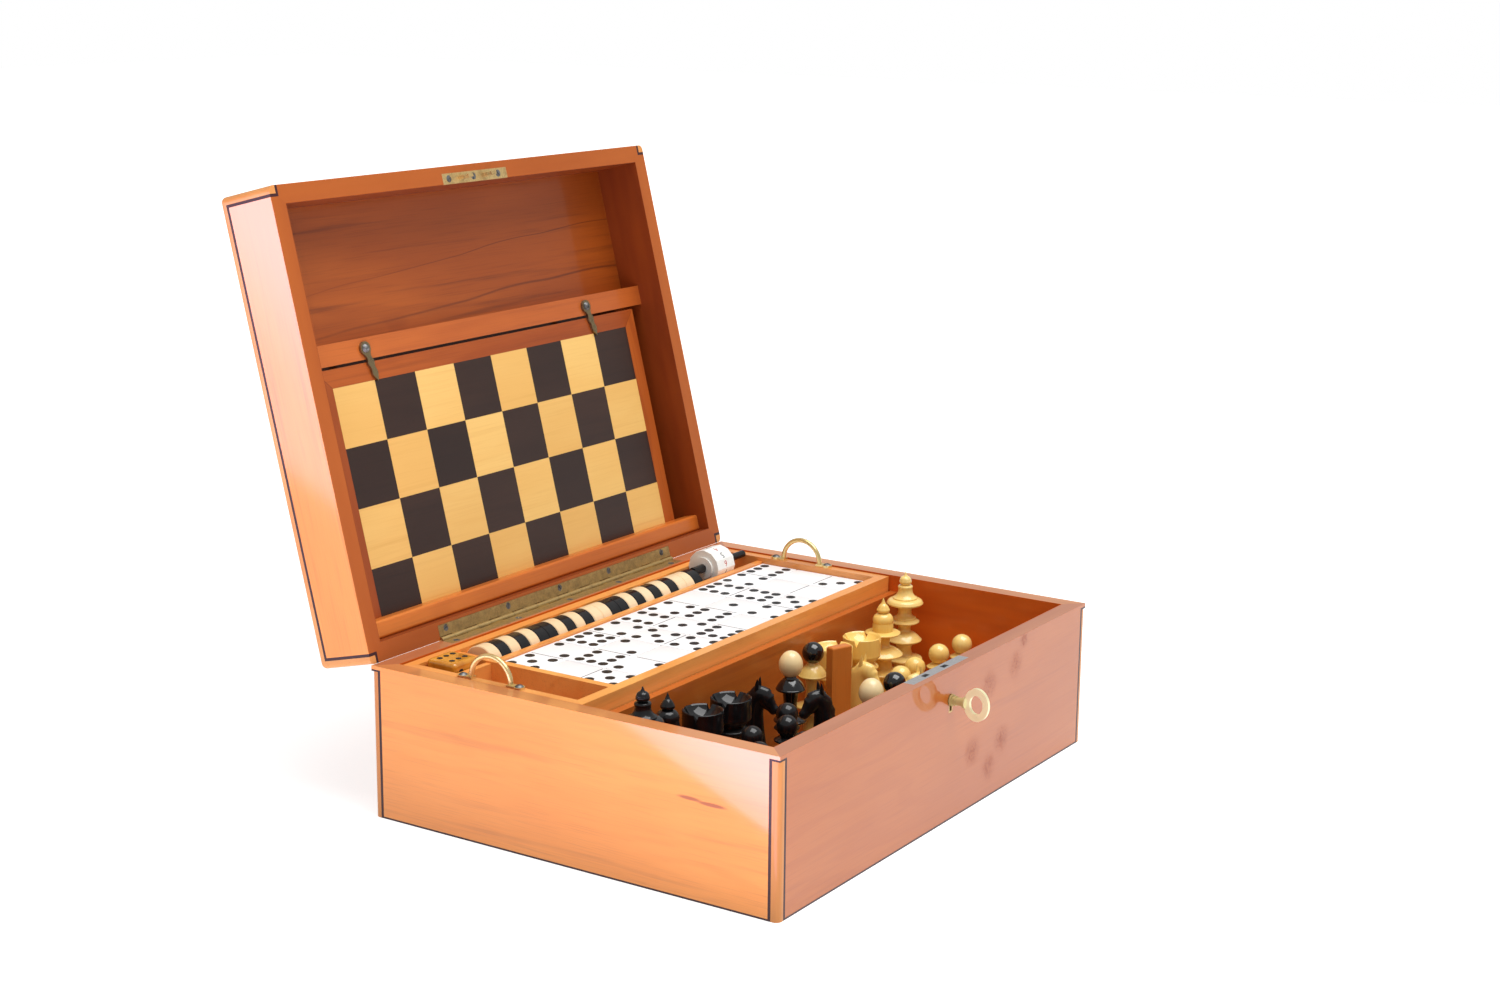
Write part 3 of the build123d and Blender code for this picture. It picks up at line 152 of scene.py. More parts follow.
class Graph:
    """One material with its nodes."""

    def __init__(self, name: str) -> None:
        """Start a material that holds a principled shader.

        Args:
            name: the material's name.
        """
        self.material = bpy.data.materials.new(name)
        self.material.use_nodes = True
        self.tree = self.material.node_tree
        self.tree.nodes.clear()
        self.shader = self.add("ShaderNodeBsdfPrincipled")
        self.add("ShaderNodeOutputMaterial", {"Surface": self.shader.outputs[0]})

    def add(self, kind: str, feeds: Optional[dict[Any, Any]] = None,
            **settings: Any) -> bpy.types.Node:
        """Make any node.

        Args:
            kind: the node's type name.
            feeds: socket name or number to value, socket or Tone.
            settings: properties, which are set before the sockets.

        Returns:
            The new node.
        """
        node = self.tree.nodes.new(kind)
        for key, value in settings.items():
            setattr(node, key, value)
        for key, value in (feeds or {}).items():
            self.feed(node.inputs[key], value)
        return node

    def feed(self, socket: bpy.types.NodeSocket, value: Any) -> None:
        """Link a socket or set its value.

        Args:
            socket: the input.
            value: a number, colour, vector, socket or Tone.
        """
        if isinstance(value, Tone):
            value = value.socket
        if isinstance(value, bpy.types.NodeSocket):
            self.tree.links.new(value, socket)
        elif isinstance(value, tuple) and socket.type == "RGBA":
            socket.default_value = (*value[:3], 1.0)
        else:
            socket.default_value = value

    def math(self, operation: str, *values: Any, clamp: bool = False) -> Tone:
        """One Math node.

        Args:
            operation: what it works out.
            values: numbers or Tones.
            clamp: keep the result between 0 and 1.

        Returns:
            The result.
        """
        node = self.add("ShaderNodeMath", dict(enumerate(values)),
                        operation=operation, use_clamp=clamp)
        return Tone(self, node.outputs[0])

    def ramp(self, value: Tone, low: float, high: float) -> Tone:
        """Value carried smoothly from 0 at low to 1 at high."""
        node = self.add("ShaderNodeMapRange", {0: value, 1: low, 2: high},
                        interpolation_type="SMOOTHSTEP", clamp=True)
        return Tone(self, node.outputs[0])

    def length(self, run: Tone, rise: Tone) -> Tone:
        """Distance that a run and a rise make: the root of their squares' sum."""
        return self.math("SQRT", run * run + rise * rise)

    def mix(self, share: Any, first: Any, second: Any) -> Tone:
        """Colour between two others."""
        node = self.add("ShaderNodeMix", {0: share, 6: first, 7: second},
                        data_type="RGBA", blend_type="MIX", clamp_factor=True)
        return Tone(self, node.outputs[2])

    def place(self) -> bpy.types.NodeSocket:
        """Where a point lies in the object's own space."""
        return self.add("ShaderNodeTexCoord").outputs["Object"]

    def mapped(self, vector: Any, scale: Point = (1, 1, 1), move: Point = (0, 0, 0),
               turn: Point = (0, 0, 0), undo: bool = False) -> bpy.types.NodeSocket:
        """Vector scaled, turned and moved, or the reverse of that.

        Args:
            vector: what is mapped.
            scale: factors along X, Y and Z.
            move: shift along X, Y and Z, in metres.
            turn: turn about X, Y and Z, in radians.
            undo: whether the reverse is made.

        Returns:
            The mapped vector.
        """
        node = self.add("ShaderNodeMapping", {"Vector": vector, "Location": move,
                                              "Rotation": turn, "Scale": scale},
                        vector_type="TEXTURE" if undo else "POINT")
        return node.outputs[0]

    def parts(self, vector: Any) -> tuple[Tone, Tone, Tone]:
        """The three numbers of a vector."""
        node = self.add("ShaderNodeSeparateXYZ", {0: vector})
        return tuple(Tone(self, output) for output in node.outputs)

    def noise(self, vector: Any, scale: float, detail: float = 2.0,
              rough: float = 0.5) -> Tone:
        """Soft random value between about 0 and 1."""
        node = self.add("ShaderNodeTexNoise", {"Vector": vector, "Scale": scale,
                                               "Detail": detail, "Roughness": rough})
        return Tone(self, node.outputs[0])

    def bump(self, height: Tone, depth: float) -> None:
        """Feed a height in metres times depth to the surface's normal."""
        node = self.add("ShaderNodeBump", {"Height": height, "Distance": depth,
                                           "Strength": 1.0})
        self.feed(self.shader.inputs["Normal"], node.outputs[0])

    def finish(self, **sockets: Any) -> bpy.types.Material:
        """Set the shader's own sockets.

        Args:
            sockets: their names, with underscores for spaces, and their values.

        Returns:
            The material.
        """
        for key, value in sockets.items():
            self.feed(self.shader.inputs[key.replace("_", " ")], value)
        return self.material


def lid_space(graph: Graph) -> bpy.types.NodeSocket:
    """Place measured from the hinge line, as if the lid were closed."""
    return graph.mapped(graph.place(), move=HINGE_POINT, turn=(-LID_OPEN, 0, 0), undo=True)


# ------------------------------------------------------------------ finishes
# How many waves a metre each pattern of a wood has, along and across its grain.
TONE_WAVES = (4.0, 16.0)
BEND_WAVES = (5.0, 26.0)
LINE_WAVES = (6.0, 190.0)
FIBRE_WAVES = (30.0, 1500.0)
VEIN_WAVES = (9.0, 0.0)
CLOUD_WAVES = (6.0, 45.0)
# How far the heart of the tree lies to the side of a part, in metres.
HEART = (0.21, 0.13)
# Waves a metre of the even noises: blots of tarnish, and fine pits and scratches.
BLOT_COUNT = 160.0
FINE_COUNT = 900.0
# Share of the wall's thickness that still counts as its rim.
WALL_SHARE = 0.985


@dataclass(frozen=True)
class Wood:
    """A polished wood with streaks, growth figure and fine fibres."""

    name: str
    light: Colour
    dark: Colour
    streak: Colour
    axis: Axis = Axis.X
    figure: float = 0.35
    streaks: float = 0.25
    ring_pitch: float = 0.016
    rough: float = 0.32
    coat: float = 0.6
    coat_rough: float = 0.08
    lid: bool = False
    shift: Point = (0.0, 0.0, 0.0)
    pore: float = 0.03 * MM
    ring_bend: float = 5.0
    fibre_share: float = 0.22
    line_height: float = 0.6
    smears: float = 38.0
    sheen_spread: float = 0.12

    def waves(self, graph: Graph, place: Any, count: Pair,
              detail: float, rough: float) -> Tone:
        """Noise that is long with the grain.

        Args:
            graph: the material being made.
            place: vector socket in metres.
            count: waves a metre, along and across the grain.
            detail: how many finer layers lie on the noise.
            rough: how strong they are.

        Returns:
            The noise, between about 0 and 1.
        """
        scale = [count[1]] * 3
        scale[self.axis.value] = count[0]
        stretched = graph.mapped(place, scale=tuple(scale), move=self.shift)
        return graph.noise(stretched, 1.0, detail, rough)

    def colour(self, graph: Graph, place: Any) -> tuple[Tone, Tone]:
        """Wood colour and fibre height at a place.

        Broad tone is low noise. Figure is bands of a ring wave bent by noise. Streaks
        are thin ridges of stretched noise. Fibres are fine noise, very long.

        Args:
            graph: the material being made.
            place: vector socket in metres.

        Returns:
            Colour and height.
        """
        broad = self.waves(graph, place, TONE_WAVES, 3.0, 0.55)
        bend = self.waves(graph, place, BEND_WAVES, 2.0, 0.5)
        cross = graph.parts(place)
        sides = [cross[index] for index in range(3) if index != self.axis.value]
        depth = graph.length(sides[0] + HEART[0], sides[1] + HEART[1])
        rings = graph.math("SINE", (depth / self.ring_pitch + bend * self.ring_bend)
                           * math.tau)
        rings = graph.ramp(rings, 0.1, 1.0)
        fibre = self.waves(graph, place, FIBRE_WAVES, 2.0, 0.6)
        line = graph.ramp(self.waves(graph, place, LINE_WAVES, 3.0, 0.6), 0.56, 0.76)
        tone = graph.mix(graph.ramp(broad, 0.3, 0.7), self.light, self.dark)
        tone = graph.mix(rings * self.figure, tone, self.dark)
        tone = graph.mix(line * self.streaks, tone, self.streak)
        tone = graph.mix(graph.ramp(fibre, 0.45, 0.8) * self.fibre_share, tone,
                         self.streak)
        return tone, fibre + line * self.line_height

    def space(self, graph: Graph) -> bpy.types.NodeSocket:
        """Place on the part, measured in the closed lid if it belongs to the lid."""
        return lid_space(graph) if self.lid else graph.place()

    def material(self) -> bpy.types.Material:
        """Polish the wood, with a sheen that varies a little.

        Returns:
            The finished wood.
        """
        graph = Graph(self.name)
        place = self.space(graph)
        tone, fibre = self.colour(graph, place)
        smear = graph.noise(place, self.smears, 3.0, 0.6)
        graph.bump(fibre, self.pore)
        return graph.finish(Base_Color=tone,
                            Roughness=self.rough + smear * self.sheen_spread,
                            Specular_IOR_Level=0.3, Coat_Weight=self.coat,
                            Coat_Roughness=self.coat_rough)


@dataclass(frozen=True)
class SquareWood(Wood):
    """Inlaid squares, each cut from its own piece of veneer."""

    cell: Point = (32.2 * MM, 32.2 * MM, 1.0)
    corner: Point = (128.1 * MM, 141.5 * MM, 0.5)
    spread: float = 0.35

    def colour(self, graph: Graph, place: Any) -> tuple[Tone, Tone]:
        """Wood colour with its own tone and grain in each square.

        Args:
            graph: the material being made.
            place: vector socket in metres.

        Returns:
            Colour and height.
        """
        start = graph.mapped(place, move=self.corner)
        snapped = graph.add("ShaderNodeVectorMath", {0: start, 1: self.cell},
                            operation="SNAP").outputs[0]
        own = graph.add("ShaderNodeTexWhiteNoise", {"Vector": snapped})
        moved = graph.add("ShaderNodeVectorMath", {0: place, 1: own.outputs["Color"]},
                          operation="ADD").outputs[0]
        tone, fibre = super().colour(graph, moved)
        share = Tone(graph, own.outputs["Value"]) * self.spread
        return graph.mix(share, tone, self.streak), fibre


@dataclass(frozen=True)
class BorderWood(Wood):
    """Border round the squares, its strips mitred where they meet."""

    middle: Pair = (0.7 * MM, -77.1 * MM)
    half: Pair = (128.8 * MM, 64.4 * MM)
    joint: float = 0.35 * MM

    def colour(self, graph: Graph, place: Any) -> tuple[Tone, Tone]:
        """Grain along each strip, and a thin dark line down each mitre.

        Args:
            graph: the material being made.
            place: vector socket in metres.

        Returns:
            Colour and height.
        """
        along, fibre = super().colour(graph, place)
        across, _ = super().colour(graph, graph.mapped(place, turn=(0, 0, QUARTER)))
        x, y, _ = graph.parts(place)
        gap = (abs(x - self.middle[0]) - self.half[0]) - (abs(y - self.middle[1]) - self.half[1])
        tone = graph.mix(gap > 0.0, along, across)
        line = 1.0 - graph.ramp(abs(gap), 0.0, self.joint)
        return graph.mix(line * 0.8, tone, self.streak), fibre


@dataclass(frozen=True)
class VeinedWood(Wood):
    """Panel wood with long dark veins that wander along the grain.

    Each vein is where it starts, how it climbs and its width, and grows stronger
    from left to right.
    """

    veins: tuple[Point, ...] = ()
    stray: float = 16.0 * MM
    faint_at: float = -0.3
    full_at: float = 0.16

    def colour(self, graph: Graph, place: Any) -> tuple[Tone, Tone]:
        """Wood colour with the veins over it.

        Args:
            graph: the material being made.
            place: vector socket in metres.

        Returns:
            Colour and height.
        """
        tone, fibre = super().colour(graph, place)
        x, y, _ = graph.parts(place)
        wander = self.waves(graph, place, VEIN_WAVES, 1.0, 0.4) - 0.5
        strength = graph.ramp(x, self.faint_at, self.full_at) * 0.7
        for start, climb, width in self.veins:
            gap = abs(y - start - x * climb - wander * self.stray)
            share = 1.0 - graph.ramp(gap, 0.0, width)
            tone = graph.mix(share * strength, tone, self.streak)
        return tone, fibre


@dataclass(frozen=True)
class CaseWood(Wood):
    """Case wood: pale shellac outside, pinkish rim, deep orange-brown inside.

    A mark is a round bruise: its place along X, its height and its radius. A fleck is
    a short streak on the left end: its place along Y, its height and its half length.
    A painted reflection whitens the outer faces toward pink, from a low to a high value of its
    first number times Z minus Y.
    A bruise dulls and darkens by a share of its own and one more in its pits.
    """

    rim: Colour = (0.56, 0.200, 0.085)
    inside: Colour = (0.80, 0.160, 0.014)
    inside_dark: Colour = (0.60, 0.105, 0.010)
    marks: tuple[Point, ...] = ()
    mark_tone: Colour = (0.30, 0.050, 0.008)
    flecks: tuple[Point, ...] = ()
    fleck_tone: Colour = (0.30, 0.040, 0.010)
    fleck_half: float = 1.1 * MM
    # Painted reflection: where the outer faces are lightened, toward what tint and how strongly.
    bleach: Optional[Point] = None
    bleached: Colour = (1.0, 0.46, 0.30)
    face_depth: float = 0.2 * MM
    bleach_fray: float = 0.02
    bleach_share: float = 0.6
    bruise_fray: float = 4.0 * MM
    bruise_dull: Pair = (0.12, 0.50)
    bruise_dark: Pair = (0.24, 0.60)
    fleck_fray: float = 2.4
    fleck_share: float = 0.8
    smears: float = 24.0
    coat: float = 1.0
    rim_coat: float = 1.0
    inner_coat: float = 0.15
    inner_rough: float = 0.1
    coat_rough: float = 0.035

    def bruise(self, graph: Graph, across: Tone, up: Tone, soft: Tone) -> Tone:
        """Share of bruising: round marks with ragged edges, added up.

        Args:
            graph: the material being made.
            across: place along X.
            up: height.
            soft: noise that frays the edges.

        Returns:
            The share, which may pass 1 where marks meet.
        """
        ragged = (soft - 0.5) * self.bruise_fray
        total: Any = 0.0
        for middle, height, size in self.marks:
            away = graph.length(across - middle, up - height) + ragged
            total = (1.0 - graph.ramp(away, size * 0.2, size)) + total
        return total

    def fleck(self, graph: Graph, along: Tone, up: Tone, soft: Tone) -> list[Tone]:
        """Share of each fleck: an oval with a ragged edge.

        Args:
            graph: the material being made.
            along: place along Y.
            up: height.
            soft: noise that frays the edges.

        Returns:
            One share for each fleck.
        """
        ragged = (soft - 0.5) * self.fleck_fray
        return [1.0 - graph.ramp(graph.length((along - middle) / half,
                                              (up - height) / self.fleck_half) + ragged,
                                 0.3, 1.0)
                for middle, height, half in self.flecks]

    def material(self) -> bpy.types.Material:
        """Outer, rim and inner finishes, chosen by where the surface lies.

        Returns:
            The finished wood.
        """
        graph = Graph(self.name)
        place = self.space(graph)
        x, y, z = graph.parts(place)
        if self.lid:
            y = y + HALF_Y
        tone, fibre = self.colour(graph, place)
        reach = WALL * WALL_SHARE
        outer = graph.math("MAXIMUM", abs(x) > HALF_X - self.face_depth,
                           abs(y) > HALF_Y - self.face_depth)
        inner = (abs(x) < HALF_X - reach) * (abs(y) < HALF_Y - reach)
        soft = self.waves(graph, place, CLOUD_WAVES, 3.0, 0.6)
        deep = graph.mix(graph.ramp(soft, 0.3, 0.75), self.inside, self.inside_dark)
        bare = graph.mix(graph.ramp(soft, 0.35, 0.8) * 0.5, self.rim, self.streak)
        tone = graph.mix(outer, graph.mix(inner, bare, deep), tone)
        # Painted reflection: the outer face is lightened toward a pinkish white, more strongly
        # higher up, as if a bright floor were mirrored in the polish.
        if self.bleach:
            climb, low, high = self.bleach
            painted_reflection_mask = graph.ramp(z * climb - y + (soft - 0.5) * self.bleach_fray, low, high)
            tone = graph.mix(painted_reflection_mask * outer * self.bleach_share, tone, self.bleached)
        bruised: Any = 0.0
        if self.marks:
            pits = graph.ramp(graph.noise(place, FINE_COUNT, 2.0, 0.6), 0.44, 0.62)
            share = graph.math("MULTIPLY", self.bruise(graph, x, z, soft), outer, clamp=True)
            dull, pit_dull = self.bruise_dull
            dark, pit_dark = self.bruise_dark
            bruised = share * (dull + pits * pit_dull)
            tone = graph.mix(share * (dark + pits * pit_dark), tone, self.mark_tone)
        for share in self.fleck(graph, y, z, soft):
            tone = graph.mix(share * outer * (x < 0.0) * self.fleck_share, tone,
                             self.fleck_tone)
        smear = graph.noise(place, self.smears, 3.0, 0.6)
        graph.bump(fibre, self.pore)
        polish = (self.rim_coat + outer * (self.coat - self.rim_coat)
                  - inner * (self.rim_coat - self.inner_coat) - bruised)
        rough = self.rough + smear * self.sheen_spread + inner * self.inner_rough
        return graph.finish(Base_Color=tone, Roughness=rough,
                            Specular_IOR_Level=0.2, Coat_Weight=polish,
                            Coat_Roughness=self.coat_rough, Coat_IOR=1.6)


@dataclass(frozen=True)
class Metal:
    """Worn metal with tarnish and fine scratches.

    Where worn_before is set, only what lies in front of that Y is handled bright.
    """

    name: str
    bright: Colour
    tarnish: Colour
    worn: float = 0.5
    rough: float = 0.32
    scratch: float = 0.02 * MM
    grain: Point = (60.0, 700.0, 700.0)
    metallic: float = 1.0
    worn_before: Optional[float] = None
    worn_edge: float = 0.8 * MM
    fine_share: float = 0.35
    worn_from: float = 0.42
    tarnish_rough: float = 0.28

    def material(self) -> bpy.types.Material:
        """Mix the bright and the tarnished metal.

        Returns:
            The finished metal.
        """
        graph = Graph(self.name)
        place = graph.place()
        blot = graph.noise(place, BLOT_COUNT, 4.0, 0.65)
        fine = graph.noise(place, FINE_COUNT, 2.0, 0.6)
        lines = graph.noise(graph.mapped(place, scale=self.grain), 1.0, 2.0, 0.5)
        share = graph.ramp(blot + fine * self.fine_share, self.worn_from,
                           self.worn_from + self.worn)
        if self.worn_before is not None:
            share = share * (1.0 - graph.ramp(graph.parts(place)[1], self.worn_before,
                                              self.worn_before + self.worn_edge))
        tone = graph.mix(share, self.tarnish, self.bright)
        graph.bump(lines + blot * 0.5, self.scratch)
        return graph.finish(Base_Color=tone, Metallic=self.metallic,
                            Roughness=self.rough + (1.0 - share) * self.tarnish_rough)


@dataclass(frozen=True)
class Gloss:
    """Polished bone-like or lacquered surface with a faint cloud."""

    name: str
    base: Colour
    cloud: Colour
    rough: float = 0.18
    coat: float = 0.5
    scale: float = 120.0
    wave: float = 0.02 * MM
    under: float = 0.5

    def material(self) -> bpy.types.Material:
        """Mix the surface.

        Returns:
            The finished surface.
        """
        graph = Graph(self.name)
        place = graph.place()
        soft = graph.noise(place, self.scale, 3.0, 0.55)
        tone = graph.mix(graph.ramp(soft, 0.35, 0.75), self.base, self.cloud)
        graph.bump(graph.noise(place, self.scale * 2.5, 2.0, 0.5), self.wave)
        return graph.finish(Base_Color=tone, Roughness=self.rough + soft * 0.1,
                            Specular_IOR_Level=self.under,
                            Coat_Weight=self.coat, Coat_Roughness=0.06)


class Finish(Protocol):
    """Anything that makes a material."""

    def material(self) -> bpy.types.Material:
        """The finished material."""


# ------------------------------------------------------------------ mesh tools
def skin(rings: np.ndarray) -> Mesh:
    """Surface through closed rings, with flat ends.

    Args:
        rings: array of rings x points x 3.

    Returns:
        Vertices and faces. A face joins points j and j + 1 of rings i and i + 1.
    """
    levels, count, _ = rings.shape
    index = np.arange(levels * count).reshape(levels, count)
    after = np.roll(index, -1, axis=1)
    quads = np.stack([index[:-1], after[:-1], after[1:], index[1:]], axis=-1)
    faces = quads.reshape(-1, 4).tolist()
    faces.append(index[0][::-1].tolist())
    faces.append(index[-1].tolist())
    return rings.reshape(-1, 3), faces


def merged(parts: Sequence[Mesh]) -> Mesh:
    """Several meshes as one.

    Args:
        parts: the meshes.

    Returns:
        All their vertices and faces.
    """
    points, faces, base = [], [], 0
    for vertices, shape in parts:
        points.append(vertices)
        faces.extend([[i + base for i in face] for face in shape])
        base += len(vertices)
    return np.concatenate(points), faces


def piece(name: str, mesh: Mesh, material: bpy.types.Material, body: str,
          smooth: float = 40.0, stands_for: Sequence[str] = ()) -> None:
    """Put a mesh in the scene as a finished piece.

    Args:
        name: the piece's name.
        mesh: vertices in metres and faces.
        material: its finish.
        body: the body it moves with.
        smooth: edges sharper than this many degrees stay sharp.
        stands_for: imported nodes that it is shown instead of.
    """
    vertices, faces = mesh
    data = bpy.data.meshes.new(name)
    data.from_pydata(vertices.tolist(), [], faces)
    data.validate()
    data.materials.append(material)
    data.polygons.foreach_set("use_smooth", np.ones(len(data.polygons), bool))
    data.set_sharp_from_angle(angle=math.radians(smooth))
    made = bpy.data.objects.new(name, data)
    bpy.context.scene.collection.objects.link(made)
    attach(made, body)
    if stands_for:
        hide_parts(*stands_for)
    LOG.info("%s: %d vertices on %s", name, len(vertices), body)


def dress(finish: Finish, *nodes: str) -> bpy.types.Material:
    """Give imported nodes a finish.

    Args:
        finish: the finish.
        nodes: their names.

    Returns:
        The material that they share.
    """
    material = finish.material()
    for name in nodes:
        node = frame["nodes"][name]
        node.data.materials.clear()
        node.data.materials.append(material)
        LOG.info("%s: %s", name, material.name)
    return material


def slab(centre: Point, size: Pair, thick: float, corner: float,
         edge: float) -> Mesh:
    """Flat tile with rounded corners and softened edges.

    The outline is a rounded rectangle: four quarter circles. It is carried up a
    profile that draws in by a quarter circle at the bottom and at the top.

    Args:
        centre: middle of the tile's underside.
        size: width along X and Y.
        thick: height.
        corner: radius of the outline's corners.
        edge: radius of the top and bottom edges.

    Returns:
        The tile.
    """
    turn = np.linspace(0, QUARTER, 4)
    signs = np.array([(1, 1), (-1, 1), (-1, -1), (1, -1)])
    angle = (turn[None, :] + np.arange(4)[:, None] * QUARTER).ravel()
    hub = np.repeat(signs * (np.array(size) / 2 - corner), len(turn), axis=0)
    bend = np.linspace(0, QUARTER, 3)
    inset = np.concatenate([edge * (1 - np.sin(bend)), edge * (1 - np.cos(bend))])
    rise = np.concatenate([edge * (1 - np.cos(bend)), thick - edge * (1 - np.sin(bend))])
    radius = corner - inset[:, None]
    rings = np.empty((len(inset), len(angle), 3))
    rings[..., 0] = centre[0] + hub[:, 0] + radius * np.cos(angle)
    rings[..., 1] = centre[1] + hub[:, 1] + radius * np.sin(angle)
    rings[..., 2] = centre[2] + rise[:, None]
    return skin(rings)


PIP_LIFT = 0.04 * MM
PIP_DISH = 0.12 * MM
PIP_ROOT = 0.2 * MM


def dimple(centre: Point, normal: Point, radius: float) -> Mesh:
    """Filled round pip with a dished face, standing a hair above its surface.

    Height over radius is the lift plus the dish times the square of the radius' share,
    rounded. The outermost ring goes down to a root below the surface.

    Args:
        centre: middle of the pip on the surface.
        normal: the way it faces.
        radius: its radius.

    Returns:
        The pip.
    """
    axis = np.array(normal, float)
    side = np.cross(axis, (0.0, 0.0, 1.0) if abs(axis[2]) < 0.9 else (1.0, 0.0, 0.0))
    side /= np.linalg.norm(side)
    other = np.cross(axis, side)
    angle = np.linspace(0, math.tau, 20, endpoint=False)
    share = np.array([1.0, 1.0, 0.75, 0.4, 0.08])
    height = np.array([-PIP_ROOT, *(PIP_LIFT + PIP_DISH * np.array([1.0, 0.56, 0.16, 0.0]))])
    circle = np.cos(angle)[:, None] * side + np.sin(angle)[:, None] * other
    rings = (np.array(centre) + share[:, None, None] * radius * circle
             + height[:, None, None] * axis)
    return skin(rings)


def lathe(profile: np.ndarray, base: Point) -> Mesh:
    """Turned shape: a profile carried round a vertical axis.

    Args:
        profile: rows of radius and height.
        base: foot of the axis.

    Returns:
        The shape.
    """
    angle = np.linspace(0, math.tau, 48, endpoint=False)
    rings = np.empty((len(profile), len(angle), 3))
    rings[..., 0] = base[0] + profile[:, :1] * np.cos(angle)
    rings[..., 1] = base[1] + profile[:, :1] * np.sin(angle)
    rings[..., 2] = base[2] + profile[:, 1:2]
    return skin(rings)


def smooth_line(points: np.ndarray, steps: int) -> np.ndarray:
    """Rows of numbers drawn out to a smooth run through all of them.

    Each stretch is the cubic whose slope at a row is half the way from the row
    before to the row after.

    Args:
        points: the rows.
        steps: how many rows to make of them.

    Returns:
        The drawn-out rows.
    """
    count = len(points)
    place = np.linspace(0, count - 1, steps)
    left = np.minimum(place.astype(int), count - 2)
    t = (place - left)[:, None]
    slope = np.gradient(points, axis=0)
    start, end = points[left], points[left + 1]
    return ((2 * t**3 - 3 * t**2 + 1) * start + (t**3 - 2 * t**2 + t) * slope[left]
            + (-2 * t**3 + 3 * t**2) * end + (t**3 - t**2) * slope[left + 1])


def number_mesh(text: str, size: float) -> Mesh:
    """Flat solid figures, centred on the origin and a hair thick.

    Args:
        text: the number.
        size: height of the type.

    Returns:
        The figures, in the XY plane.
    """
    curve = bpy.data.curves.new("figure", "FONT")
    curve.body = text
    curve.size = size
    curve.extrude = HAIR
    curve.align_x, curve.align_y = "CENTER", "CENTER"
    carrier = bpy.data.objects.new("figure", curve)
    bpy.context.scene.collection.objects.link(carrier)
    bpy.context.view_layer.update()
    graph = bpy.context.evaluated_depsgraph_get()
    mesh = bpy.data.meshes.new_from_object(carrier.evaluated_get(graph))
    points = np.empty(len(mesh.vertices) * 3)
    mesh.vertices.foreach_get("co", points)
    faces = [list(face.vertices) for face in mesh.polygons]
    bpy.data.meshes.remove(mesh)
    bpy.data.objects.remove(carrier)
    bpy.data.curves.remove(curve)
    return points.reshape(-1, 3), faces


# ------------------------------------------------------------------ woods, metals and bone
# One case wood in two copies. The CASE colours are darkened as painted shade on the front and
# back walls. The END colours are made lighter and more orange as painted light on the end walls,
# which face the left lamp.
CASE_LIGHT: Colour = (0.54, 0.138, 0.014)
CASE_DARK: Colour = (0.46, 0.104, 0.009)
CASE_STREAK: Colour = (0.30, 0.060, 0.010)
LIT_END_LIGHT: Colour = (0.94, 0.340, 0.052)
LIT_END_DARK: Colour = (0.84, 0.270, 0.034)
LID_INSIDE: Colour = (0.30, 0.058, 0.008)
LID_INSIDE_DARK: Colour = (0.20, 0.034, 0.006)
LID_RIM: Colour = (0.42, 0.105, 0.018)

BEAD_WOOD = Wood("bead_wood", (0.72, 0.30, 0.075), (0.60, 0.22, 0.050), (0.40, 0.12, 0.03),
                 axis=Axis.Z, figure=0.15, coat=0.4)
LID_BEAD_WOOD = Wood("lid_bead_wood", (0.76, 0.34, 0.095), (0.64, 0.25, 0.060),
                     (0.42, 0.13, 0.03), figure=0.15, lid=True, coat=0.4)
STRING_WOOD = Wood("string_wood", (0.055, 0.016, 0.018), (0.035, 0.010, 0.012),
                   (0.015, 0.005, 0.006), figure=0.1, coat=0.1)
BOXWOOD = Wood("boxwood", (1.0, 0.80, 0.32), (1.0, 0.67, 0.17), (0.74, 0.32, 0.04),
               axis=Axis.Z, figure=0.4, streaks=0.4, coat=1.0, coat_rough=0.12)

AGED_BRASS = Metal("aged_brass", (0.62, 0.44, 0.18), (0.37, 0.255, 0.115), worn=0.5,
                   rough=0.38)
PLATE_BRASS = Metal("plate_brass", (0.80, 0.58, 0.25), (0.44, 0.31, 0.13), worn=0.4,
                    rough=0.36, metallic=0.8)
HANDLE_BRASS = Metal("handle_brass", (0.86, 0.66, 0.29), (0.46, 0.33, 0.13), worn=0.2,
                     rough=0.28, metallic=0.75)
DARK_BRONZE = Metal("dark_bronze", (0.36, 0.27, 0.14), (0.14, 0.11, 0.07), worn=0.45)
LOCK_STEEL = Metal("lock_steel", (0.66, 0.66, 0.67), (0.42, 0.42, 0.42), worn=0.4,
                   rough=0.42)
SCREW_STEEL = Metal("screw_steel", (0.26, 0.26, 0.26), (0.09, 0.08, 0.07), worn=0.4,
                    rough=0.5)

EBONISED = Gloss("ebonised", (0.006, 0.006, 0.007), (0.010, 0.010, 0.011), rough=0.4,
                 coat=0.75, under=0.1, scale=300.0, wave=0.06 * MM)
TILE_WHITE = Gloss("tile_white", (0.95, 0.95, 0.96), (0.91, 0.91, 0.92), rough=0.5, coat=0.1,
                   scale=60.0)
INK = Gloss("pip_black", (0.010, 0.010, 0.011), (0.020, 0.020, 0.021), rough=0.4, coat=0.0)
LINE_INK = Gloss("line_grey", (0.035, 0.035, 0.04), (0.07, 0.07, 0.08), rough=0.5, coat=0.0)
RED_INK = Gloss("number_red", (0.55, 0.05, 0.04), (0.62, 0.10, 0.08))


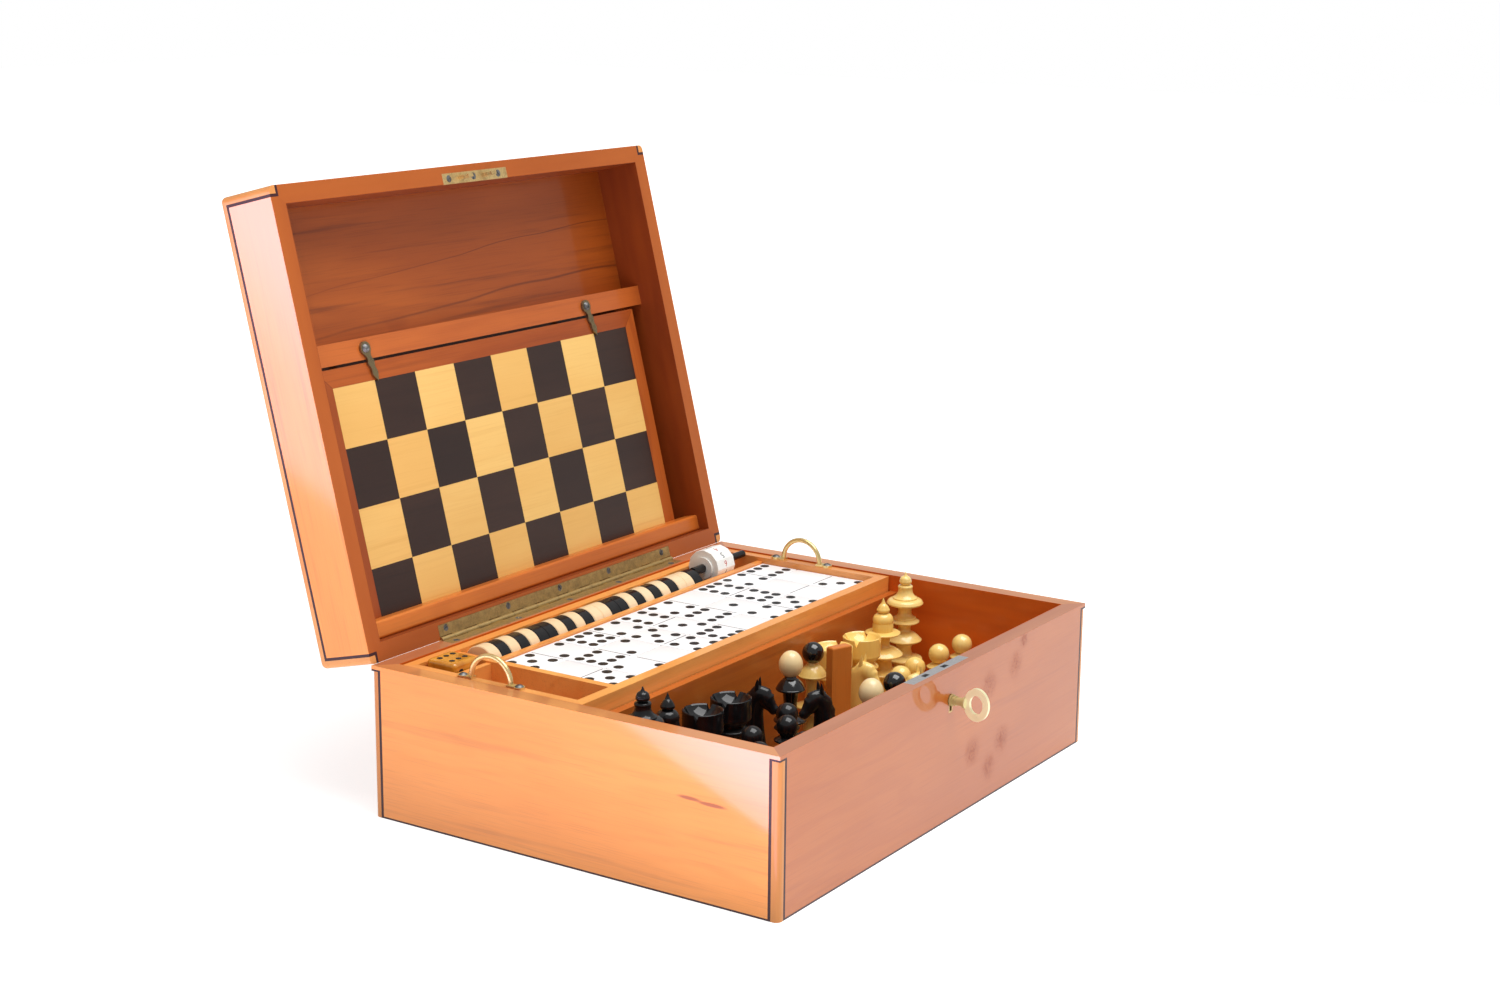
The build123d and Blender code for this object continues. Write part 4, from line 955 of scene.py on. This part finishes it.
# ------------------------------------------------------------------ sub-assemblies
@dataclass(frozen=True)
class Case:
    """Box body: walls, beads, strings, runners and the wall of the chess bay."""

    front_marks: tuple[Point, ...] = (
        (0.075, 0.067, 0.0110), (0.045, 0.063, 0.0110), (0.028, 0.031, 0.0100),
        (0.061, 0.029, 0.0105), (0.047, 0.017, 0.0095), (0.084, 0.078, 0.0065))
    end_flecks: tuple[Point, ...] = ((-0.0735, 0.0512, 0.008), (-0.0865, 0.0504, 0.009))

    def build(self) -> None:
        """Give every part of the body its finish."""
        long_wood = (CASE_LIGHT, CASE_DARK, CASE_STREAK)
        dress(CaseWood("front_wall_wood", *long_wood, marks=self.front_marks,
                       coat=0.8), "box_front_wall")
        dress(CaseWood("back_wall_wood", *long_wood, shift=(3.0, 1.0, 2.0)),
              "box_back_wall")
        # End walls take the lighter copy of the case wood: painted light.
        dress(CaseWood("end_wall_wood", LIT_END_LIGHT, LIT_END_DARK, CASE_STREAK, axis=Axis.Y,
                       shift=(1.0, 5.0, 3.0), coat_rough=0.08, flecks=self.end_flecks,
                       # painted reflection: a pinkish-white glow painted over the top front
                       # corner of each end wall
                       bleach=(2.0, 0.19, 0.27), rim=(0.74, 0.290, 0.095)),
              "box_end_walls")
        dress(BEAD_WOOD, "box_corner_beads")
        dress(STRING_WOOD, "box_stringing")
        dress(Wood("bottom_wood", (0.34, 0.12, 0.035), (0.24, 0.075, 0.02),
                   (0.12, 0.03, 0.01), coat=0.2), "box_bottom")
        dress(Wood("bay_wall_wood", (0.62, 0.165, 0.022), (0.44, 0.10, 0.014),
                   (0.24, 0.05, 0.01), coat=0.3), "compartment_wall")
        dress(Wood("runner_wood", (0.36, 0.11, 0.03), (0.26, 0.07, 0.02),
                   (0.14, 0.03, 0.01), axis=Axis.Y, coat=0.2), "tray_runners")


@dataclass(frozen=True)
class Fittings:
    """Hinge, lock, key, plates and screws."""

    key_grip: float = 12.8 * MM

    def build(self) -> None:
        """Give every metal part its finish, the key's bow a brighter one than its stem."""
        dress(AGED_BRASS, "hinge_box_leaf", "hinge_lid_leaf", "hinge_pin",
              "keyhole_liner")
        dress(PLATE_BRASS, "lid_link_plate")
        dress(HANDLE_BRASS, "tray_handles")
        dress(DARK_BRONZE, "turn_button_left", "turn_button_right")
        dress(Metal("key_brass", (0.94, 0.88, 0.54), (0.50, 0.38, 0.15), worn=0.08,
                    rough=0.34, metallic=0.35,
                    worn_before=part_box("key")[0].y + self.key_grip), "key")
        dress(LOCK_STEEL, "lock_case", "lock_cover_plate", "lock_bolt")
        dress(SCREW_STEEL, "hinge_box_screws", "hinge_lid_screws", "lock_screws",
              "turn_button_screws", "link_plate_screws", "handle_screws")


@dataclass(frozen=True)
class Lid:
    """Lid: walls, panel, beads, batten, ledge and the folded board."""

    panel_veins: tuple[Point, ...] = ((-0.1743, -0.050, 0.0011), (-0.200, -0.070, 0.0005))
    panel_ring_pitch: float = 21.0 * MM

    def build(self) -> None:
        """Give every part of the lid its finish."""
        within = dict(streak=CASE_STREAK, lid=True, rim=LID_RIM, rim_coat=0.12,
                      inside=LID_INSIDE, inside_dark=LID_INSIDE_DARK)
        dress(CaseWood("lid_front_wood", CASE_LIGHT, CASE_DARK, shift=(2.0, 4.0, 1.0),
                       **within), "lid_front_wall", "lid_back_wall")
        # Lid end walls take the lighter copy of the case wood: painted light.
        dress(CaseWood("lid_end_wood", LIT_END_LIGHT, LIT_END_DARK, axis=Axis.Y,
                       # painted reflection: a pale veil painted along the top of the lid's end
                       # walls
                       shift=(6.0, 1.0, 2.0), coat_rough=0.08, bleach=(-1.5, -0.02, 0.10),
                       **within), "lid_end_walls")
        dress(VeinedWood("lid_panel_wood", (0.50, 0.118, 0.012), (0.33, 0.066, 0.006),
                         (0.075, 0.014, 0.004), figure=0.45, streaks=0.45, lid=True,
                         ring_pitch=self.panel_ring_pitch, coat=0.5, coat_rough=0.1,
                         veins=self.panel_veins), "lid_top_panel")
        dress(LID_BEAD_WOOD, "lid_beads")
        dress(STRING_WOOD, "lid_stringing")
        dress(Wood("batten_wood", (0.56, 0.140, 0.022), (0.42, 0.090, 0.014),
                   (0.24, 0.045, 0.010), lid=True, figure=0.25, coat=0.4),
              "board_batten")
        dress(Wood("ledge_wood", (0.74, 0.215, 0.030), (0.56, 0.135, 0.018),
                   (0.30, 0.060, 0.010), lid=True, figure=0.3, coat=0.3),
              "board_ledge")
        dress(BorderWood("board_frame_wood", (0.44, 0.098, 0.013), (0.30, 0.056, 0.008),
                         (0.11, 0.018, 0.004), lid=True, figure=0.5, coat=0.2),
              "board_leaves")
        dress(SquareWood("maple_squares", (0.88, 0.58, 0.185), (0.82, 0.48, 0.130),
                         (0.66, 0.33, 0.070), lid=True, figure=0.25, streaks=0.3,
                         coat=0.3), "board_light_squares")
        dress(SquareWood("dark_squares", (0.045, 0.018, 0.010), (0.026, 0.010, 0.006),
                         (0.010, 0.005, 0.004), lid=True, figure=0.2,
                         coat=0.35), "board_dark_squares")


class Tray:
    """Lift-out tray with its dividers."""

    def build(self) -> None:
        """Give the tray its finish."""
        dress(Wood("tray_wood", (1.0, 0.465, 0.125), (0.92, 0.335, 0.065),
                   (0.44, 0.130, 0.03), figure=0.3), "tray_long_walls",
              "tray_dividers")
        dress(Wood("tray_end_wood", (0.92, 0.40, 0.115), (0.78, 0.280, 0.065),
                   (0.42, 0.120, 0.03), axis=Axis.Y, figure=0.3),
              "tray_end_walls")
        dress(Wood("tray_floor_wood", (0.46, 0.16, 0.045), (0.34, 0.10, 0.028),
                   (0.20, 0.05, 0.015), figure=0.2), "tray_floor")


@dataclass(frozen=True)
class Tile:
    """One domino of the top layer: its cell and its two numbers."""

    column: int
    row: int
    along_x: bool
    first: int
    second: int


TILE_LAYOUT = (
    Tile(0, 0, True, 5, 2), Tile(2, 0, True, 8, 4), Tile(4, 0, False, 6, 3),
    Tile(5, 0, True, 4, 0), Tile(7, 0, False, 7, 7), Tile(8, 0, True, 4, 6),
    Tile(0, 1, False, 0, 5), Tile(1, 1, True, 7, 2), Tile(3, 1, False, 5, 5),
    Tile(5, 1, True, 6, 1), Tile(8, 1, False, 0, 0), Tile(9, 1, False, 0, 3),
    Tile(1, 2, True, 2, 0), Tile(4, 2, True, 7, 0), Tile(6, 2, True, 4, 5))
# Pips of each number, in pip pitches from the middle of a half: along the tile, across it.
MIDDLE = ((0, 0),)
DIAGONAL = ((-1, -1), (1, 1))
SQUARE = (*DIAGONAL, (-1, 1), (1, -1))
SIX = (*SQUARE, (0, -1), (0, 1))
PIPS = ((), MIDDLE, DIAGONAL, DIAGONAL + MIDDLE, SQUARE, SQUARE + MIDDLE, SIX,
        (*SIX, (1, 0)), (*SIX, (-1, 0), (1, 0)))


@dataclass(frozen=True)
class Dominoes:
    """Set of tiles laid flat in three layers, with filled pips on the top one."""

    pitch: float = 25.2 * MM
    gap: float = 0.3 * MM
    corner: float = 1.0 * MM
    edge: float = 0.5 * MM
    layers: int = 3
    layer_gap: float = 0.02 * MM
    pip_pitch: float = 7.6 * MM
    pip_radius: float = 2.7 * MM
    line_long: float = 21.0 * MM
    line_wide: float = 0.5 * MM
    line_deep: float = 0.2 * MM
    line_corner: float = 0.2 * MM
    line_edge: float = 0.02 * MM

    def build(self) -> None:
        """Make the tiles, their pips and the line across each."""
        low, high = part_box("dominoes")
        level = (high.z - low.z) / self.layers
        tiles, dots, lines = [], [], []
        for tile in TILE_LAYOUT:
            wide, deep = (2, 1) if tile.along_x else (1, 2)
            x = low.x - self.gap / 2 + (tile.column + wide / 2) * self.pitch
            y = high.y + self.gap / 2 - (tile.row + deep / 2) * self.pitch
            size = (wide * self.pitch - self.gap, deep * self.pitch - self.gap)
            for layer in range(self.layers):
                tiles.append(slab((x, y, low.z + layer * level), size,
                                  level - self.layer_gap, self.corner, self.edge))
            lines.append(self.line(x, y, high.z, tile.along_x))
            for side, number in ((-1, tile.first), (1, tile.second)):
                dots.extend(self.half(x, y, high.z, tile.along_x, side, number))
        piece("domino_tiles", merged(tiles), TILE_WHITE.material(), "domino_set",
              stands_for=["dominoes"])
        piece("domino_pips", merged(dots), INK.material(), "domino_set")
        piece("domino_lines", merged(lines), LINE_INK.material(), "domino_set")

    def half(self, x: float, y: float, top: float, along_x: bool, side: int,
             number: int) -> list[Mesh]:
        """Pips of one half of a tile, with columns of three along the tile.

        Args:
            x: middle of the tile along X.
            y: middle of the tile along Y.
            top: its upper face.
            along_x: whether it lies along X.
            side: -1 for its first half, 1 for its second.
            number: how many pips.

        Returns:
            One mesh for each pip.
        """
        made = []
        for along, across in PIPS[number]:
            shift = side * (self.pitch / 2 + along * self.pip_pitch)
            aside = across * self.pip_pitch
            spot = (x + shift, y + aside) if along_x else (x + aside, y - shift)
            made.append(dimple((*spot, top), (0, 0, 1), self.pip_radius))
        return made

    def line(self, x: float, y: float, top: float, along_x: bool) -> Mesh:
        """Thin dark line across the middle of a tile, a hair above its face.

        Args:
            x: middle of the tile along X.
            y: middle of the tile along Y.
            top: its upper face.
            along_x: whether it lies along X.

        Returns:
            The line.
        """
        size = (self.line_wide, self.line_long)
        return slab((x, y, top - self.line_deep), size if along_x else size[::-1],
                    self.line_deep + HAIR, self.line_corner, self.line_edge)


@dataclass(frozen=True)
class Games:
    """Draughts, die, spinner and the loose divider."""

    die_top_pitch: Pair = (5.1 * MM, 4.1 * MM)
    die_top_pip: float = 1.55 * MM
    die_pitch: float = 4.6 * MM
    die_pip: float = 1.7 * MM
    facets: int = 12
    figure_size: float = 5.2 * MM
    figure_share: float = 0.53

    def build(self) -> None:
        """Dress the small games and add their marks."""
        dress(Wood("boxwood_draughts", (0.95, 0.76, 0.50), (0.90, 0.65, 0.38),
                   (0.72, 0.45, 0.22), figure=0.2, coat=0.3), "draughts_light")
        dress(EBONISED, "draughts_dark", "spinner_spindle")
        dress(Gloss("amber", (0.72, 0.30, 0.020), (0.55, 0.19, 0.010), rough=0.12,
                    coat=0.8), "die")
        dress(Gloss("spinner_white", (0.94, 0.94, 0.90), (0.88, 0.88, 0.84), rough=0.35,
                    coat=0.2), "spinner_body")
        dress(Wood("slat_wood", (0.84, 0.30, 0.050), (0.68, 0.200, 0.030),
                   (0.36, 0.09, 0.02), axis=Axis.Z, figure=0.2, coat=0.3),
              "chess_slat")
        self.die_pips()
        self.spinner_numbers()

    def die_pips(self) -> None:
        """Black pips on the die: six on top, one left, two in front, five behind, four right."""
        low, high = (np.array(corner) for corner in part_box("die"))
        middle, half = (low + high) / 2, (high - low) / 2
        long, short = self.die_top_pitch
        dots = [dimple((middle[0] + a * long, middle[1] + b * short, high[2]), (0, 0, 1),
                       self.die_top_pip)
                for a in (-1, 0, 1) for b in (-1, 1)]
        slant = ((-1, 1), (1, -1))
        outer = ((1, 1), (-1, -1))
        sides = (((-1, 0, 0), MIDDLE), ((0, -1, 0), slant),
                 ((0, 1, 0), slant + MIDDLE + outer), ((1, 0, 0), slant + outer))
        for normal, spots in sides:
            face = middle + np.array(normal) * half
            aside = np.array((abs(normal[1]), abs(normal[0]), 0.0))
            for a, b in spots:
                spot = face + (a * aside + b * np.array((0.0, 0.0, 1.0))) * self.die_pitch
                dots.append(dimple(tuple(spot), normal, self.die_pip))
        piece("die_pips", merged(dots), INK.material(), "die_body")

    def spinner_numbers(self) -> None:
        """Small plain numbers round the spinner, one to a facet, black and red in turn."""
        low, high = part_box("spinner_body")
        middle = np.array((low.x + (high.x - low.x) * self.figure_share,
                           (low.y + high.y) / 2, (low.z + high.z) / 2))
        step = math.pi / self.facets
        reach = (high.y - low.y) / 2 * math.cos(step) + HAIR
        inks = {"number_black": [], "number_red": []}
        for facet in range(self.facets):
            angle = step + facet * 2 * step
            out = np.array((0.0, math.cos(angle), math.sin(angle)))
            up = np.array((0.0, -math.sin(angle), math.cos(angle)))
            along = np.array((1.0, 0.0, 0.0)) * (1 if np.cross((1, 0, 0), up) @ out > 0 else -1)
            flat, faces = number_mesh(str(facet + 1), self.figure_size)
            points = (middle + out * reach + flat[:, :1] * along + flat[:, 1:2] * up
                      + flat[:, 2:] * out)
            inks["number_red" if facet % 2 else "number_black"].append((points, faces))
        for name, finish in (("number_black", INK), ("number_red", RED_INK)):
            piece(f"spinner_{name}", merged(inks[name]), finish.material(), "spinner")


@dataclass(frozen=True)
class BishopFinish:
    """Turned body with a ball of the other colour on top."""

    side: Side
    ball_from: float = 61.7 * MM

    def material(self) -> bpy.types.Material:
        """Boxwood and black, split where the ball meets the neck.

        Returns:
            The finished body and ball.
        """
        graph = Graph(f"{self.side.word}_bishop_finish")
        place = graph.place()
        tone, fibre = BOXWOOD.colour(graph, place)
        ball = graph.parts(place)[2] > self.ball_from
        black = ball
        if self.side is Side.BLACK:
            black = 1.0 - ball
            tone = graph.mix(0.6, tone, (0.98, 0.78, 0.50))
        tone = graph.mix(black, tone, EBONISED.base)
        graph.bump(fibre, BOXWOOD.pore)
        return graph.finish(Base_Color=tone, Roughness=0.34 - black * 0.2,
                            Coat_Weight=0.6, Coat_Roughness=0.08)


@dataclass(frozen=True)
class Horse:
    """Where a carved knight stands, in millimetres, and the way it looks, in degrees."""

    x: float
    y: float
    turn: float


# Where each side's two knights stand.
STANDS = {Side.WHITE: (Horse(49.6, -42.8, -85), Horse(50.6, -80.1, 145)),
          Side.BLACK: (Horse(-19.8, -19.5, -75), Horse(-6.0, -52.0, 145))}


@dataclass(frozen=True)
class Knights:
    """Knights: a turned foot and a carved horse head with mane and ears.

    Foot rows are radius and height, and spine rows are forward, up, half depth and
    half thickness, all in millimetres. A cheek or an eye is where it lies along the
    spine, how far it reaches and how deep it is cut, as shares. An ear has its foot's
    place and its tip's shift as forward, out to its side and up, in millimetres, and
    the two half widths of its ovals.
    """

    side: Side
    floor: float = 6.0 * MM
    foot: tuple[Pair, ...] = (
        (10.6, 0), (11.0, 0.5), (11.0, 3.0), (10.7, 4.0), (10.2, 4.6), (9.0, 7.0),
        (8.0, 10.0), (7.3, 12.2), (7.5, 13.2), (8.5, 14.2), (8.75, 15.2), (8.4, 16.3),
        (7.4, 16.9), (5.0, 17.2))
    spine: tuple[tuple[float, float, float, float], ...] = (
        (0.2, 15.5, 6.9, 5.0), (-0.4, 21.0, 6.5, 4.6), (-1.2, 28.0, 6.2, 4.2),
        (-1.6, 35.0, 5.9, 4.1), (-1.4, 41.0, 5.6, 4.0), (0.2, 46.8, 5.2, 3.9),
        (2.9, 49.4, 5.0, 3.9), (5.4, 47.7, 4.5, 3.7), (7.4, 45.2, 3.7, 3.1),
        (9.2, 43.1, 2.9, 2.6), (10.4, 41.6, 2.7, 2.4), (11.2, 40.5, 2.0, 1.8),
        (11.5, 40.0, 0.4, 0.4))
    cheek: Point = (0.66, 0.06, 0.16)
    eye: Point = (0.70, 0.03, 0.10)
    mane: float = 0.11
    mane_end: float = 0.62
    mane_aside: float = 0.18
    ripple: float = 0.07
    ripples: float = 95.0
    ear_foot: Point = (0.6, 2.0, 49.5)
    ear_tip: Point = (0.9, 0.5, 9.2)
    ear_half: Pair = (1.75, 1.15)
    ear_width: float = 0.75
    ear_point: float = 1.02

    def head(self) -> Mesh:
        """Neck and head as ovals along a bent spine, in millimetres.

        Each oval stands square to the spine: half depth in the plane of the head,
        half thickness across it. At the back a mane swells it, rippled along the neck
        by a sine. The cheek swells it in front and the eyes are pressed in at the
        sides, each by a bell curve along the spine.

        Returns:
            The head.
        """
        rows = smooth_line(np.array(self.spine), 64)
        way = np.gradient(rows[:, :2], axis=0)
        way /= np.linalg.norm(way, axis=1)[:, None]
        front = np.stack([way[:, 1], -way[:, 0]], axis=1)
        angle = np.linspace(0, math.tau, 32, endpoint=False)
        run = np.linspace(0, 1, len(rows))[:, None]
        cheek, eye = (deep * np.exp(-((run - middle) / reach) ** 2)
                      for middle, reach, deep in (self.cheek, self.eye))
        back = np.clip(-np.cos(angle), 0, 1) ** 5
        swell = self.mane + self.ripple * np.sin(run * self.ripples)
        mane = 1 + back * swell * (run < self.mane_end)
        depth = (np.cos(angle) * rows[:, 2:3] * mane
                 * (1 + cheek * np.clip(np.cos(angle), 0, 1) ** 2))
        across = (np.sin(angle) * rows[:, 3:4] * (1 - eye * np.abs(np.sin(angle)) ** 6)
                  * (1 + self.mane_aside * back))
        rings = np.stack([rows[:, :1] + depth * front[:, :1], -across,
                          rows[:, 1:2] + depth * front[:, 1:]], axis=-1)
        return skin(rings)

    def ear(self, side: int) -> Mesh:
        """Pointed ear, in millimetres: ovals that bulge and then shrink to a point.

        Their size is the square root of what is left of the ear, times a bulge that is
        highest half way up.

        Args:
            side: -1 for the left ear, 1 for the right.

        Returns:
            The ear.
        """
        share = np.linspace(0, 1, 9)[:, None]
        angle = np.linspace(0, math.tau, 12, endpoint=False)
        size = np.sqrt(self.ear_point - share) * (self.ear_width + share * (1 - share))
        middle = [foot + tip * share for foot, tip in zip(self.ear_foot, self.ear_tip)]
        deep, wide = self.ear_half
        forward = middle[0] + deep * size * np.cos(angle)
        aside = side * middle[1] + wide * size * np.sin(angle)
        up = middle[2] + 0 * angle
        return skin(np.stack([forward, -aside, up], axis=-1))

    def build(self, material: bpy.types.Material) -> None:
        """Carve both knights of the side.

        Args:
            material: their finish.
        """
        parts = []
        carved, faces = merged([self.head(), self.ear(-1), self.ear(1)])
        carved = carved * MM
        for horse in STANDS[self.side]:
            x, y, turn = horse.x * MM, horse.y * MM, math.radians(horse.turn)
            points = np.stack([x + carved[:, 0] * math.cos(turn) - carved[:, 1] * math.sin(turn),
                               y + carved[:, 0] * math.sin(turn) + carved[:, 1] * math.cos(turn),
                               self.floor + carved[:, 2]], axis=-1)
            parts += [lathe(np.array(self.foot) * MM, (x, y, self.floor)), (points, faces)]
        word = self.side.word
        piece(f"{word}_knights_carved", merged(parts), material, f"{word}_knights_body",
              smooth=60.0, stands_for=[f"{word}_knights"])


class Chessmen:
    """Turned chess pieces and carved knights."""

    def build(self) -> None:
        """Dress the turned pieces and carve the knights."""
        for side, finish in ((Side.WHITE, BOXWOOD), (Side.BLACK, EBONISED)):
            material = dress(finish, *(f"{side.word}_{kind}"
                                       for kind in ("king", "queen", "rooks", "pawns")))
            dress(BishopFinish(side), f"{side.word}_bishops")
            Knights(side).build(material)


@dataclass(frozen=True)
class Studio:
    """Pale floor, soft light and camera.

    The card lies flat beside the box and shines upwards. It is given by a start beside
    the box, the way it runs and the way it lies out, and how far along and out its
    middle is.
    """

    surround: float = 0.40
    floor_half: float = 6.0
    floor_lines: int = 13
    floor_tones: Pair = (0.58, 0.60)
    floor_glow: Pair = (0.72, 1.1)
    glow_reach: Pair = (0.5, 3.0)
    overhead_at: Point = (0.1, -0.5, 2.2)
    overhead_aim: Point = (0.0, 0.0, 0.08)
    overhead_size: Pair = (1.8, 1.8)
    overhead_power: float = 52.0
    card_start: Point = (-0.247, -0.065, 0.003)
    card_way: Point = (-0.519, 0.855, 0.0)
    card_out: Point = (-0.855, -0.519, 0.0)
    card_middle: Pair = (1.8, 0.6)
    card_size: Pair = (3.8, 1.2)
    card_power: float = 49.0
    card_tint: Colour = (0.82, 0.58, 1.0)
    lens: float = 57.485
    sensor: float = 36.0
    camera_at: Point = (-1.0360, -0.6789, 0.4428)
    camera_turn: Point = (76.899, -2.318, -54.447)

    def build(self) -> None:
        """Set up everything that isn't part of the object."""
        view = bpy.context.scene.view_settings
        view.view_transform, view.look = "Standard", "None"
        self.floor()
        self.world()
        self.lights()
        self.camera()

    def floor(self) -> None:
        """Wide flat floor that glows brighter further out."""
        graph = Graph("studio_floor")
        cloud = graph.noise(graph.place(), 3.0, 2.0)
        tone = graph.mix(cloud, *((grey,) * 3 for grey in self.floor_tones))
        x, y, _ = graph.parts(graph.place())
        away = graph.ramp(graph.length(x, y), *self.glow_reach)
        glow = graph.mix(away, *((grey,) * 3 for grey in self.floor_glow))
        graph.finish(Base_Color=tone, Roughness=0.7, Emission_Color=glow,
                     Emission_Strength=1.0)
        count = self.floor_lines
        grid = np.linspace(-self.floor_half, self.floor_half, count)
        points = np.zeros((count, count, 3))
        points[..., :2] = np.stack(np.meshgrid(grid, grid), axis=-1)
        index = np.arange(count * count).reshape(count, count)
        quads = np.stack([index[:-1, :-1], index[:-1, 1:], index[1:, 1:], index[1:, :-1]],
                         axis=-1).reshape(-1, 4)
        data = bpy.data.meshes.new("floor")
        data.from_pydata(points.reshape(-1, 3).tolist(), [], quads.tolist())
        data.materials.append(graph.material)
        made = bpy.data.objects.new("floor", data)
        bpy.context.scene.collection.objects.link(made)

    def world(self) -> None:
        """White backdrop round a dimmer room."""
        world = bpy.data.worlds.new("surround")
        bpy.context.scene.world = world
        world.use_nodes = True
        tree = world.node_tree
        sky = tree.nodes["Background"]
        sky.inputs["Color"].default_value = (1.0, 1.0, 1.0, 1.0)
        path = tree.nodes.new("ShaderNodeLightPath")
        level = tree.nodes.new("ShaderNodeMapRange")
        level.inputs["To Min"].default_value = self.surround
        level.inputs["To Max"].default_value = 1.0
        tree.links.new(path.outputs["Is Camera Ray"], level.inputs["Value"])
        tree.links.new(level.outputs["Result"], sky.inputs["Strength"])

    def lights(self) -> None:
        """Soft light overhead, and a bright low card on the left that the polish mirrors."""
        place = np.array(self.overhead_at)
        away = place - np.array(self.overhead_aim)
        tilt = math.acos(away[2] / np.linalg.norm(away))
        self.panel("overhead_light", place, (tilt, 0, math.atan2(away[0], -away[1])),
                   self.overhead_size, self.overhead_power)
        way, out = np.array(self.card_way), np.array(self.card_out)
        along, aside = self.card_middle
        self.panel("left_card", np.array(self.card_start) + way * along + out * aside,
                   (math.pi, 0, math.atan2(way[1], way[0])), self.card_size,
                   self.card_power, tint=self.card_tint)

    def panel(self, name: str, place: np.ndarray, turn: Point, size: Pair,
              power: float, tint: Colour = (1.0, 1.0, 1.0)) -> None:
        """Soft rectangular light.

        Args:
            name: the light's name.
            place: its middle.
            turn: its turn about X, Y and Z, from shining straight down.
            size: its length and width.
            power: watts.
            tint: its colour.
        """
        data = bpy.data.lights.new(name, "AREA")
        data.shape = "RECTANGLE"
        data.size, data.size_y = size
        data.energy = power
        data.color = tint
        made = bpy.data.objects.new(name, data)
        made.location = place
        made.rotation_euler = turn
        made.visible_camera = False
        bpy.context.scene.collection.objects.link(made)

    def camera(self) -> None:
        """Long-lens view from the front left."""
        data = bpy.data.cameras.new("camera")
        data.lens = self.lens
        data.sensor_width = self.sensor
        data.clip_start, data.clip_end = 0.02, 30.0
        made = bpy.data.objects.new("camera", data)
        made.rotation_mode = "YXZ"
        made.location = self.camera_at
        made.rotation_euler = [math.radians(value) for value in self.camera_turn]
        bpy.context.scene.collection.objects.link(made)
        bpy.context.scene.camera = made


def main() -> None:
    """Build the sub-assemblies in order."""
    for assembly in (Case(), Fittings(), Lid(), Tray(), Dominoes(), Games(), Chessmen(),
                     Studio()):
        LOG.info("%s", type(assembly).__name__)
        assembly.build()


if __name__ == "__main__":
    main()
